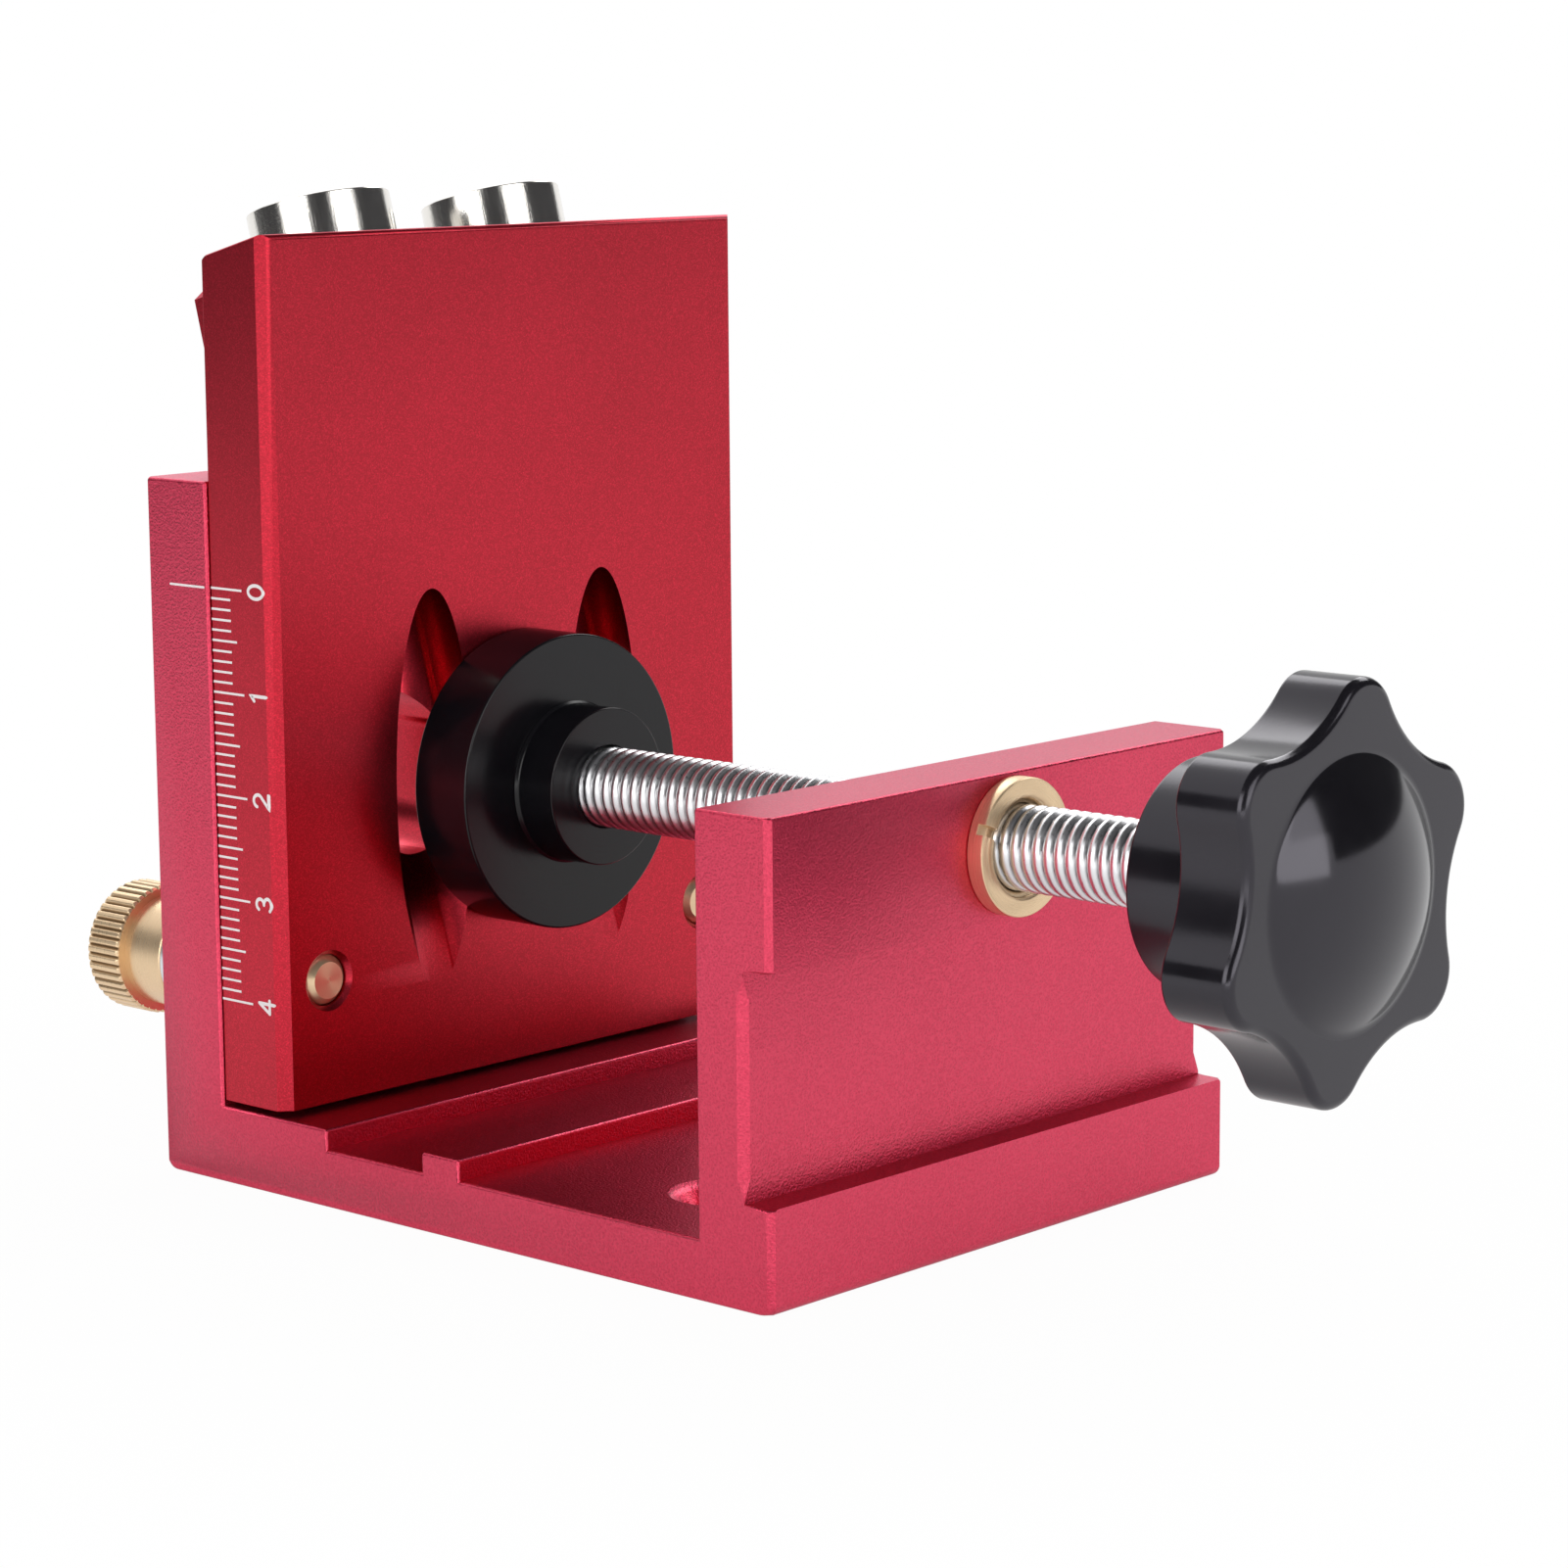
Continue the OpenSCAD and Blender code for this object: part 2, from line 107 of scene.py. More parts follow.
def turning_place(tree):
    """Distance along the turned profile, as a place for turning marks."""
    node = tree.nodes.new("ShaderNodeAttribute")
    node.attribute_name = "turning"
    join = tree.nodes.new("ShaderNodeCombineXYZ")
    tree.links.new(node.outputs["Fac"], join.inputs[0])
    return join.outputs[0]


def grain(tree, place, size, detail=2.0, roughness=0.5):
    """Soft noise whose blotches are about that many millimetres across."""
    node = tree.nodes.new("ShaderNodeTexNoise")
    node.inputs["Scale"].default_value = 1 / (size * MM)
    node.inputs["Detail"].default_value = detail
    node.inputs["Roughness"].default_value = roughness
    tree.links.new(place, node.inputs["Vector"])
    return node.outputs["Fac"]


def dimples(tree, place, size):
    """Rounded cells, as beads leave in metal."""
    node = tree.nodes.new("ShaderNodeTexVoronoi")
    node.feature = "SMOOTH_F1"
    node.inputs["Scale"].default_value = 1 / (size * MM)
    node.inputs["Smoothness"].default_value = 0.6
    tree.links.new(place, node.inputs["Vector"])
    return node.outputs["Distance"]


def along_drill(tree, place, stretch):
    """The place drawn out along the slanted drill axis."""
    node = tree.nodes.new("ShaderNodeMapping")
    node.vector_type = "TEXTURE"
    node.inputs["Rotation"].default_value = (0, -DRILL_ANGLE, 0)
    node.inputs["Scale"].default_value = (1, 1, stretch)
    tree.links.new(place, node.inputs["Vector"])
    return node.outputs["Vector"]


def painted_groove_shade(tree, start, least):
    """Painted shade for grooves: one on the crests of a knurl or thread, falling to the least value in its
    grooves.
    """
    node = tree.nodes.new("ShaderNodeAttribute")
    node.attribute_name = "groove"
    return map_range(tree, node.outputs["Fac"], start, GROOVE_FLOOR, 1.0, least)


def specks(tree, place, size):
    """Small cells, each lighter or darker than the next."""
    node = tree.nodes.new("ShaderNodeTexVoronoi")
    node.inputs["Scale"].default_value = 1 / (size * MM)
    tree.links.new(place, node.inputs["Vector"])
    return node.outputs["Color"]


def tint(tree, shader, amount, low, high):
    """Colour that wanders between two shades."""
    node = tree.nodes.new("ShaderNodeMix")
    node.data_type = "RGBA"
    tree.links.new(amount, node.inputs["Factor"])
    node.inputs["A"].default_value = (*low, 1)
    node.inputs["B"].default_value = (*high, 1)
    tree.links.new(node.outputs["Result"], shader.inputs["Base Color"])


def dulled(tree, shader, amount, low, high):
    """Roughness that wanders between two values as a soft noise does."""
    tree.links.new(map_range(tree, amount, NOISE_LOW, NOISE_HIGH, low, high), shader.inputs["Roughness"])


def relief(tree, shader, height, depth, strength):
    """Fine relief of that depth in millimetres on the surface."""
    node = tree.nodes.new("ShaderNodeBump")
    node.inputs["Strength"].default_value = strength
    node.inputs["Distance"].default_value = depth * MM
    tree.links.new(height, node.inputs["Height"])
    tree.links.new(node.outputs["Normal"], shader.inputs["Normal"])


def red_bead_blast():
    """Bead-blasted aluminium, anodised red: fine leathery grain under a thin clear skin."""
    material, tree, shader = new_finish("red_bead_blast", Metallic=1.0, Specular_Tint=(0.62, 0.52, 0.60, 1),
                                        Coat_Weight=0.5, Coat_Roughness=0.3)
    place = object_place(tree)
    blotch = grain(tree, place, 22.0, 3.0)
    cells = dimples(tree, place, 0.24)
    peel = grain(tree, place, 0.15, 2.0, 0.6)
    skin = maths(tree, "ADD", cells, maths(tree, "MULTIPLY", peel, 0.9))
    mottle = maths(tree, "ADD", maths(tree, "MULTIPLY", blotch, 0.5), skin)
    shade = map_range(tree, mottle, 0.5, 1.4, 0.0, 1.0)
    tint(tree, shader, shade, (0.54, 0.024, 0.068), (0.76, 0.054, 0.118))
    dulled(tree, shader, peel, 0.29, 0.41)
    relief(tree, shader, skin, 0.045, 0.9)
    return material


def red_satin():
    """Finely blasted aluminium, anodised a deeper red, with a fine sparkle."""
    material, tree, shader = new_finish("red_satin", Metallic=1.0, Specular_Tint=(0.9, 0.6, 0.68, 1),
                                        Coat_Weight=0.45, Coat_Roughness=0.3)
    place = object_place(tree)
    blotch = grain(tree, place, 18.0, 3.0)
    fine = grain(tree, place, 0.14, 2.0, 0.7)
    sparkle = maths(tree, "POWER", specks(tree, place, 0.12), 2.0)
    shade = maths(tree, "ADD", maths(tree, "MULTIPLY", blotch, 0.3), maths(tree, "MULTIPLY", sparkle, 0.9))
    tint(tree, shader, shade, (0.36, 0.0055, 0.0165), (0.70, 0.016, 0.045))
    dulled(tree, shader, fine, 0.29, 0.34)
    relief(tree, shader, fine, 0.014, 0.7)
    return material


def plated_nickel():
    """Polished plating with fine lengthwise streaks left by the polishing."""
    material, tree, shader = new_finish("plated_nickel", Metallic=1.0)
    place = object_place(tree)
    spots = grain(tree, place, 0.2, 3.0, 0.7)
    streaks = grain(tree, along_drill(tree, place, 14.0), 0.22, 3.0, 0.6)
    mottle = maths(tree, "ADD", maths(tree, "MULTIPLY", spots, 0.4), maths(tree, "MULTIPLY", streaks, 0.6))
    cloud = grain(tree, place, 6.0, 2.0)
    tint(tree, shader, cloud, (0.78, 0.755, 0.71), (0.87, 0.845, 0.80))
    dulled(tree, shader, mottle, 0.10, 0.2)
    relief(tree, shader, mottle, 0.02, 0.7)
    return material


def bright_screw_steel():
    """Bright plated screw thread, with painted shade darkening its grooves."""
    material, tree, shader = new_finish("bright_screw_steel", Metallic=1.0)
    place = object_place(tree)
    cloud = map_range(tree, grain(tree, place, 2.5, 3.0), 0.0, 1.0, 0.8, 1.0)
    # Painted shade: the thread grooves darken towards the dark steel colour
    shade = maths(tree, "MULTIPLY", cloud, painted_groove_shade(tree, 0.5, 0.3))
    tint(tree, shader, shade, (0.10, 0.10, 0.105), (0.90, 0.90, 0.92))
    dulled(tree, shader, grain(tree, place, 0.3, 2.0), 0.27, 0.37)
    return material


def turned_brass():
    """Brass straight from the lathe, with fine turning marks and painted shade darkening the knurl grooves.
    """
    material, tree, shader = new_finish("turned_brass", Metallic=0.82, Anisotropic=0.8)
    around = tree.nodes.new("ShaderNodeAttribute")
    around.attribute_name = "around"
    tree.links.new(around.outputs["Vector"], shader.inputs["Tangent"])
    lines = grain(tree, turning_place(tree), 0.12, 3.0, 0.6)
    cloud = grain(tree, object_place(tree), 3.0, 2.0)
    # Painted shade: the knurl grooves darken towards the dark brass colour at their floors
    unshaded = painted_groove_shade(tree, 0.1, 0.25)
    turnings = maths(tree, "ADD", maths(tree, "MULTIPLY", lines, 0.6), maths(tree, "MULTIPLY", cloud, 0.4))
    shade = maths(tree, "MULTIPLY", map_range(tree, turnings, 0.0, 1.0, 0.72, 1.0), unshaded)
    tint(tree, shader, shade, (0.20, 0.12, 0.06), (0.95, 0.71, 0.45))
    dulled(tree, shader, lines, 0.24, 0.36)
    relief(tree, shader, lines, 0.008, 0.5)
    return material


def zinc_plate():
    """Dull zinc on washers and nut."""
    material, tree, shader = new_finish("zinc_plate", Metallic=1.0)
    place = object_place(tree)
    spangle = grain(tree, place, 1.2, 3.0)
    tint(tree, shader, spangle, (0.66, 0.69, 0.73), (0.80, 0.82, 0.86))
    dulled(tree, shader, spangle, 0.24, 0.36)
    relief(tree, shader, grain(tree, place, 0.2), 0.004, 0.4)
    return material


def black_turned():
    """Black satin pad with faint turning marks."""
    material, tree, shader = new_finish("black_turned", Specular_IOR_Level=0.32)
    lines = grain(tree, turning_place(tree), 0.25, 3.0, 0.6)
    dust = grain(tree, object_place(tree), 4.0, 3.0)
    tint(tree, shader, dust, (0.003, 0.003, 0.004), (0.006, 0.0055, 0.0075))
    dulled(tree, shader, lines, 0.18, 0.27)
    relief(tree, shader, lines, 0.006, 0.5)
    return material


def black_moulded():
    """Semi-gloss black moulded plastic with a faint moulded grain."""
    material, tree, shader = new_finish("black_moulded", Specular_IOR_Level=0.6, Specular_Tint=LILAC)
    place = object_place(tree)
    flow = grain(tree, place, 9.0, 3.0)
    skin = grain(tree, place, 0.35, 2.0)
    tint(tree, shader, flow, (0.005, 0.0045, 0.006), (0.010, 0.009, 0.012))
    dulled(tree, shader, flow, 0.14, 0.24)
    relief(tree, shader, skin, 0.006, 0.5)
    return material


def black_polished():
    """Glossy black cap with the faintest waviness."""
    material, tree, shader = new_finish("black_polished", Specular_IOR_Level=0.65, Specular_Tint=LILAC)
    place = object_place(tree)
    wave = grain(tree, place, 5.0, 2.0)
    tint(tree, shader, wave, (0.004, 0.0038, 0.005), (0.008, 0.0075, 0.0095))
    dulled(tree, shader, wave, 0.1, 0.16)
    relief(tree, shader, grain(tree, place, 3.0, 2.0), 0.004, 0.3)
    return material


def white_marking():
    """Pale marks of the scale, slightly worn."""
    material, tree, shader = new_finish("white_marking", Roughness=0.55)
    wear = grain(tree, object_place(tree), 0.5, 3.0)
    tint(tree, shader, wear, (0.80, 0.72, 0.73), (0.90, 0.86, 0.86))
    return material


finish = {
    "red_base": red_bead_blast(), "red_block": red_satin(), "plated_bush": plated_nickel(),
    "brass": turned_brass(), "washer_steel": zinc_plate(), "screw_steel": bright_screw_steel(),
    "black_pad": black_turned(), "black_knob": black_moulded(), "black_cap": black_polished(),
    "marks": white_marking(),
}


# Meshes

def mesh_of(name, bm):
    """Close a bmesh into a new mesh with its faces pointing outwards."""
    bmesh.ops.recalc_face_normals(bm, faces=bm.faces)
    mesh = bpy.data.meshes.new(name)
    bm.to_mesh(mesh)
    bm.free()
    return mesh


def evaluated(obj):
    """The object's mesh with its modifiers worked in; the object itself goes."""
    depsgraph = bpy.context.evaluated_depsgraph_get()
    mesh = bpy.data.meshes.new_from_object(obj.evaluated_get(depsgraph), preserve_all_data_layers=True,
                                           depsgraph=depsgraph)
    bpy.data.objects.remove(obj)
    return mesh


def work_object(mesh):
    """Short-lived object that carries a mesh through its modifiers."""
    obj = bpy.data.objects.new("work", mesh)
    scene.collection.objects.link(obj)
    return obj


# Degrees from which an edge is shaded sharp, on turned pieces and on cut ones
TURNED_SHARP, CUT_SHARP = 40.0, 30.0


def smoothed(mesh, angle=TURNED_SHARP):
    """Smooth shading that keeps flats flat beside their eased edges."""
    mesh.shade_smooth()
    mesh.set_sharp_from_angle(angle=math.radians(angle))
    obj = work_object(mesh)
    normals = obj.modifiers.new("normals", "WEIGHTED_NORMAL")
    normals.keep_sharp = True
    return evaluated(obj)


def joined(meshes):
    """Several meshes as one."""
    bm = bmesh.new()
    for mesh in meshes:
        bm.from_mesh(mesh)
    mesh = bpy.data.meshes.new(meshes[0].name)
    bm.to_mesh(mesh)
    bm.free()
    return mesh


def axis_at(x, y, z, direction=(1, 0, 0)):
    """Frame whose own X axis starts at a point and runs in a direction."""
    turn = Vector((1, 0, 0)).rotation_difference(Vector(direction)).to_matrix().to_4x4()
    return Matrix.Translation((x, y, z)) @ turn


# Largest share of a side that one eased corner takes
CORNER_SHARE = 0.45


def eased(profile, easing, closed):
    """The profile with each corner rounded off by that much."""
    if not easing:
        return profile
    count = len(profile)
    points = []
    for i, corner in enumerate(profile):
        corner = Vector(corner)
        if not closed and i in (0, count - 1):
            points.append(corner)
            continue
        back = Vector(profile[i - 1]) - corner
        on = Vector(profile[(i + 1) % count]) - corner
        reach = min(easing, CORNER_SHARE * back.length, CORNER_SHARE * on.length)
        first = corner + back.normalized() * reach
        last = corner + on.normalized() * reach
        for part in (0, 1 / 3, 2 / 3, 1):
            points.append(first * (1 - part) ** 2 + corner * 2 * part * (1 - part) + last * part ** 2)
    return points


def skin_rings(bm, rings, closed):
    """Faces between neighbouring rings of corners; a ring of one corner is a pole."""
    pairs = list(zip(rings, rings[1:]))
    if closed:
        pairs.append((rings[-1], rings[0]))
    for ring, after in pairs:
        steps = max(len(ring), len(after))
        for k in range(steps):
            corners = [ring[k % len(ring)], ring[(k + 1) % len(ring)],
                       after[(k + 1) % len(after)], after[k % len(after)]]
            bm.faces.new(list(dict.fromkeys(corners)))


def turned(name, profile, place, easing=0.15, closed=False, steps=128):
    """Body turned about its axis from (along, radius) corners in millimetres."""
    bm = bmesh.new()
    rings = []
    for along, radius in eased(profile, easing, closed):
        spots = [0.0] if radius < TINY else [TURN * k / steps for k in range(steps)]
        rings.append([bm.verts.new(place @ Vector((along, radius * math.cos(a), radius * math.sin(a))) * MM)
                      for a in spots])
    skin_rings(bm, rings, closed)
    return mesh_of(name, bm)


def mark_turning(mesh, place):
    """Store on each point how far the tool went along the profile, and which way it cut."""
    back = place.inverted()
    lathe_axis = place.to_3x3() @ Vector((1, 0, 0))
    marks = mesh.attributes.new("turning", "FLOAT", "POINT")
    cuts = mesh.attributes.new("around", "FLOAT_VECTOR", "POINT")
    for vertex, mark, cut in zip(mesh.vertices, marks.data, cuts.data):
        spot = back @ (vertex.co / MM)
        mark.value = (spot.x + math.hypot(spot.y, spot.z)) * MM
        cut.vector = lathe_axis.cross(vertex.co - place.translation * MM).normalized()
    return mesh


# Length at each end of a knurl or thread that is left without painted groove shade
END_ROWS = 0.3


def mark_grooves(mesh, place, length, radius, depth):
    """Store on each point of a knurl or thread, away from its ends, how deep it lies in the grooves, for the
    painted groove shade.
    """
    back = place.inverted()
    marks = mesh.attributes.new("groove", "FLOAT", "POINT")
    for vertex, mark in zip(mesh.vertices, marks.data):
        spot = back @ (vertex.co / MM)
        if END_ROWS < spot.x < length - END_ROWS:
            mark.value = min(1.0, max(0.0, (radius - math.hypot(spot.y, spot.z)) / depth))
    return mesh


# Angles between faces at which an outer edge counts as sharp
SHARP_FROM, SHARP_TO = math.radians(50), math.radians(120)


def convex_edges(bm, least):
    """Sharp outer edges of at least that length in millimetres, with their middles and directions."""
    for edge in bm.edges:
        if len(edge.link_faces) == 2 and edge.is_convex and edge.calc_length() > least * MM:
            if SHARP_FROM < edge.calc_face_angle() < SHARP_TO:
                first, last = (vertex.co / MM for vertex in edge.verts)
                yield edge, (first + last) / 2, (last - first).normalized()


def cut_away(mesh, cutter):
    """The mesh with another one's shape cut out of it."""
    obj, tool = work_object(mesh), work_object(cutter)
    cut = obj.modifiers.new("cut", "BOOLEAN")
    cut.operation = "DIFFERENCE"
    cut.solver = "EXACT"
    cut.object = tool
    result = evaluated(obj)
    bpy.data.objects.remove(tool)
    return result


# Faces within this angle are one flat; rings of faces in a rounding and in an easing
FLAT_ANGLE = math.radians(0.5)
ROUNDING_RINGS, EASING_RINGS = 5, 3


def eased_copy(node, width, least, rounded, cutters=(), sharp=None):
    """Copy of a solid, with the cutters' shapes taken out and its outer edges eased by that width.
    The edges that the rule of rounded picks get its radius first, and those that sharp picks stay as
    they are. A rule is asked about an edge's middle and direction."""
    bm = bmesh.new()
    bm.from_mesh(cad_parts[node].data)
    bmesh.ops.remove_doubles(bm, verts=bm.verts, dist=TINY)
    for cutter in cutters:
        mesh = bpy.data.meshes.new(node)
        bm.to_mesh(mesh)
        bm.clear()
        bm.from_mesh(cut_away(mesh, cutter))
    bmesh.ops.dissolve_limit(bm, angle_limit=FLAT_ANGLE, verts=bm.verts, edges=bm.edges)
    radius, chosen = rounded
    edges = [edge for edge, middle, along in convex_edges(bm, least) if chosen(middle, along)]
    bmesh.ops.bevel(bm, geom=edges, offset=radius * MM, offset_type="OFFSET", segments=ROUNDING_RINGS,
                    profile=0.5, affect="EDGES")
    weight = bm.edges.layers.float.new("bevel_weight_edge")
    for edge, middle, along in convex_edges(bm, least):
        if not (sharp and sharp(middle, along)):
            edge[weight] = 1.0
    mesh = bpy.data.meshes.new(node)
    bm.to_mesh(mesh)
    bm.free()
    obj = work_object(mesh)
    bevel = obj.modifiers.new("easing", "BEVEL")
    bevel.limit_method = "WEIGHT"
    bevel.width = width * MM
    bevel.segments = EASING_RINGS
    bevel.use_clamp_overlap = False
    return smoothed(evaluated(obj), CUT_SHARP)


def piece(name, mesh, slot, body, *nodes):
    """Put a finished mesh on its body, in place of the solids it stands for."""
    obj = bpy.data.objects.new(name, mesh)
    scene.collection.objects.link(obj)
    mesh.materials.clear()
    mesh.materials.append(finish[slot])
    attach(obj, body)
    if nodes:
        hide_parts(*nodes)
    return obj


# Rule for threads and knurls

# Grid rows beyond this place, of half the rod's length, close the rod's ends
LAST_ROW = 0.49999


def ridged_rod_tree():
    """Rod along +X whose surface rises and falls in ridges, as a screw thread or a straight knurl."""
    tree = bpy.data.node_groups.new("ridged_rod", "GeometryNodeTree")
    tree.interface.new_socket("Rod", in_out="OUTPUT", socket_type="NodeSocketGeometry")
    for name in ("Length", "Ridge Radius", "Root Radius", "End Radius", "Ridges Along", "Ridges Around",
                 "Crest Share", "Root Share", "Roundness"):
        tree.interface.new_socket(name, in_out="INPUT", socket_type="NodeSocketFloat")
    for name in ("Rows", "Columns"):
        tree.interface.new_socket(name, in_out="INPUT", socket_type="NodeSocketInt")
    tree.interface.new_socket("Finish", in_out="INPUT", socket_type="NodeSocketMaterial")
    size = tree.nodes.new("NodeGroupInput").outputs
    grid = tree.nodes.new("GeometryNodeMeshGrid")
    for key, value in (("Size X", 1.0), ("Size Y", 1.0), ("Vertices X", size["Rows"]),
                       ("Vertices Y", size["Columns"])):
        set_input(tree, grid.inputs[key], value)
    spot = tree.nodes.new("ShaderNodeSeparateXYZ")
    tree.links.new(tree.nodes.new("GeometryNodeInputPosition").outputs[0], spot.inputs[0])
    share = maths(tree, "ADD", spot.outputs["X"], 0.5)
    around = maths(tree, "ADD", spot.outputs["Y"], 0.5)
    along = maths(tree, "MULTIPLY", share, size["Length"])
    phase = maths(tree, "FRACT", maths(tree, "MULTIPLY_ADD", along, size["Ridges Along"],
                                       maths(tree, "MULTIPLY", around, size["Ridges Around"])))
    swing = maths(tree, "ABSOLUTE", maths(tree, "MULTIPLY_ADD", phase, 2.0, -1.0))
    fall = maths(tree, "POWER", map_range(tree, swing, size["Crest Share"], size["Root Share"], 0.0, 1.0),
                 size["Roundness"])
    drop = maths(tree, "SUBTRACT", size["Root Radius"], size["Ridge Radius"])
    radius = maths(tree, "MULTIPLY_ADD", fall, drop, size["Ridge Radius"])
    near_end = maths(tree, "MINIMUM", along, maths(tree, "SUBTRACT", size["Length"], along))
    radius = maths(tree, "MINIMUM", radius, maths(tree, "ADD", near_end, size["End Radius"]))
    inside = maths(tree, "LESS_THAN", maths(tree, "ABSOLUTE", spot.outputs["X"]), LAST_ROW)
    radius = maths(tree, "MULTIPLY", radius, inside)
    angle = maths(tree, "MULTIPLY", around, TURN)
    across = maths(tree, "MULTIPLY", radius, maths(tree, "COSINE", angle))
    up = maths(tree, "MULTIPLY", radius, maths(tree, "SINE", angle))
    place = tree.nodes.new("ShaderNodeCombineXYZ")
    for socket, value in zip(place.inputs, (along, across, up)):
        tree.links.new(value, socket)
    shape = grid.outputs["Mesh"]
    for kind, settings in (("GeometryNodeSetPosition", {"Position": place.outputs[0]}),
                           ("GeometryNodeFlipFaces", {}),
                           ("GeometryNodeMergeByDistance", {"Distance": TINY}),
                           ("GeometryNodeRealizeInstances", {}),
                           ("GeometryNodeSetMaterial", {"Material": size["Finish"]})):
        step = tree.nodes.new(kind)
        tree.links.new(shape, step.inputs[0])
        for key, value in settings.items():
            set_input(tree, step.inputs[key], value)
        shape = step.outputs[0]
    tree.links.new(shape, tree.nodes.new("NodeGroupOutput").inputs[0])
    return tree


def grown(tree, name, place, **inputs):
    """Mesh grown by a node tree from its named inputs, put in its place."""
    obj = work_object(bpy.data.meshes.new(name))
    modifier = obj.modifiers.new("nodes", "NODES")
    modifier.node_group = tree
    for socket in tree.interface.items_tree:
        if socket.in_out == "INPUT":
            modifier[socket.identifier] = inputs[socket.name.replace(" ", "_")]
    mesh = evaluated(obj)
    mesh.name = name
    mesh.transform(Matrix.Scale(MM, 4) @ place @ Matrix.Scale(1 / MM, 4))
    return mesh


ridged_rod = ridged_rod_tree()

# Depth of a thread as a share of its pitch, and how finely threads and knurls are drawn
THREAD_DEPTH = 0.26
ROWS_A_PITCH, THREAD_COLUMNS = 14, 49
KNURL_ROWS, COLUMNS_A_TOOTH = 41, 10
# Chamfer at the ends of a knurl
KNURL_BREAK = 0.35


def thread(name, place, length, radius, pitch, end, slot):
    """Right-hand screw thread."""
    return grown(ridged_rod, name, place, Length=length * MM, Ridge_Radius=radius * MM,
                 Root_Radius=(radius - THREAD_DEPTH * pitch) * MM, End_Radius=end * MM,
                 Ridges_Along=1 / (pitch * MM), Ridges_Around=-1.0, Crest_Share=0.0, Root_Share=1.0,
                 Roundness=2.0, Rows=round(length / pitch * ROWS_A_PITCH) + 1, Columns=THREAD_COLUMNS,
                 Finish=finish[slot])


def knurl(name, place, length, radius, depth, teeth, slot):
    """Straight knurl with flat-topped teeth."""
    return grown(ridged_rod, name, place, Length=length * MM, Ridge_Radius=radius * MM,
                 Root_Radius=(radius - depth) * MM, End_Radius=(radius - KNURL_BREAK) * MM, Ridges_Along=0.0,
                 Ridges_Around=float(teeth), Crest_Share=0.5, Root_Share=0.9, Roundness=1.2,
                 Rows=KNURL_ROWS, Columns=teeth * COLUMNS_A_TOOTH + 1, Finish=finish[slot])


# Sizes taken from the frame, in millimetres

def box_mm(node):
    """Low and high corner of a solid."""
    low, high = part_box(node)
    return low / MM, high / MM


def middle(node):
    """Centre of a solid's box."""
    low, high = box_mm(node)
    return (low + high) / 2


# Red base and block

RECESS_X, FOOT_TOP, LIP_FOOT = 37.4, 9.6, 30.3
FOOT_RADIUS, TOP_END_RADIUS = 0.9, 0.25
# Long filed chamfers at the recess's ends: depth, taper, tips clear of the edge, gaps to foot and lip
FILED_DEPTH, FILED_TAPER, FILED_TIP, FILED_FOOT_GAP, FILED_LIP_GAP = 0.8, 2.1, 0.05, 0.15, 0.6
# An edge this near a plane lies on it, and one with this share of a direction runs that way
NEAR, ALONG, ROUND_CORNERS_ALONG = 0.1, 0.9, 0.6
# Height above which an edge belongs to the block's slanted top
TOP_FROM = 80.0


def under_base(spot, along):
    """Long edges under the base, round their corners too."""
    return spot.z < NEAR and abs(along.y) > ROUND_CORNERS_ALONG


def at_recess(spot, along):
    """Long edges above and below the recess, and the upright ones at its ends."""
    if abs(along.y) > ALONG:
        return spot.x > RECESS_X and min(abs(spot.z - LIP_FOOT), abs(spot.z - FOOT_TOP)) < NEAR
    return abs(along.z) > ALONG and abs(spot.x - RECESS_X) < NEAR


def block_top_ends(spot, along):
    """Short edges at the ends of the block's slanted top."""
    return spot.z > TOP_FROM and abs(along.x) > ALONG


def file_cutter(x, y, low, high):
    """Cutter that breaks an upright edge and runs out to nothing at both ends."""
    side = math.copysign(1.0, y)
    clear = 2.0
    bm = bmesh.new()
    for z, depth in ((low, -FILED_TIP), (low + FILED_TAPER, FILED_DEPTH),
                     (high - FILED_TAPER, FILED_DEPTH), (high, -FILED_TIP)):
        spots = [(x - depth - clear, y + side * clear), (x + clear, y - side * (depth + clear))]
        if z in (low, high):
            spots.append((x + 2 * clear, y + side * 2 * clear))
        for spot in spots:
            bm.verts.new(Vector((*spot, z)) * MM)
    bmesh.ops.convex_hull(bm, input=bm.verts)
    return mesh_of("file_cutter", bm)


base_low, base_high = box_mm("base_channel")
filed = [file_cutter(RECESS_X, y, FOOT_TOP + FILED_FOOT_GAP, LIP_FOOT - FILED_LIP_GAP)
         for y in (base_low.y, base_high.y)]
base = eased_copy("base_channel", width=0.3, least=0.1, rounded=(FOOT_RADIUS, under_base), cutters=filed,
                  sharp=at_recess)
piece("base_channel_eased", base, "red_base", "base", "base_channel")
block = eased_copy("guide_block", width=0.12, least=1.5, rounded=(TOP_END_RADIUS, block_top_ends))
piece("guide_block_eased", block, "red_block", "guide", "guide_block")


# Drill bushes

BUSH_LENGTH, BUSH_RIM, BUSH_RADIUS, BUSH_BORE = 26.0, 25.9, 7.15, 4.75
BUSH_FOOT_BREAK, BUSH_MOUTH = 0.5, 1.0
slant = Vector((-math.sin(DRILL_ANGLE), 0, math.cos(DRILL_ANGLE)))

for side in ("left", "right"):
    node = side + "_drill_bush"
    foot = middle(node) - slant * BUSH_LENGTH / 2
    place = axis_at(*foot, slant)
    bush = turned(node, [(0, BUSH_BORE), (0, BUSH_RADIUS - BUSH_FOOT_BREAK), (BUSH_FOOT_BREAK, BUSH_RADIUS),
                         (BUSH_RIM, BUSH_RADIUS), (BUSH_RIM, BUSH_BORE + BUSH_MOUTH),
                         (BUSH_RIM - BUSH_MOUTH, BUSH_BORE)], place, easing=0.15, closed=True)
    piece(node + "_turned", smoothed(bush), "plated_bush", "guide", node)


# Thumb screws and washers

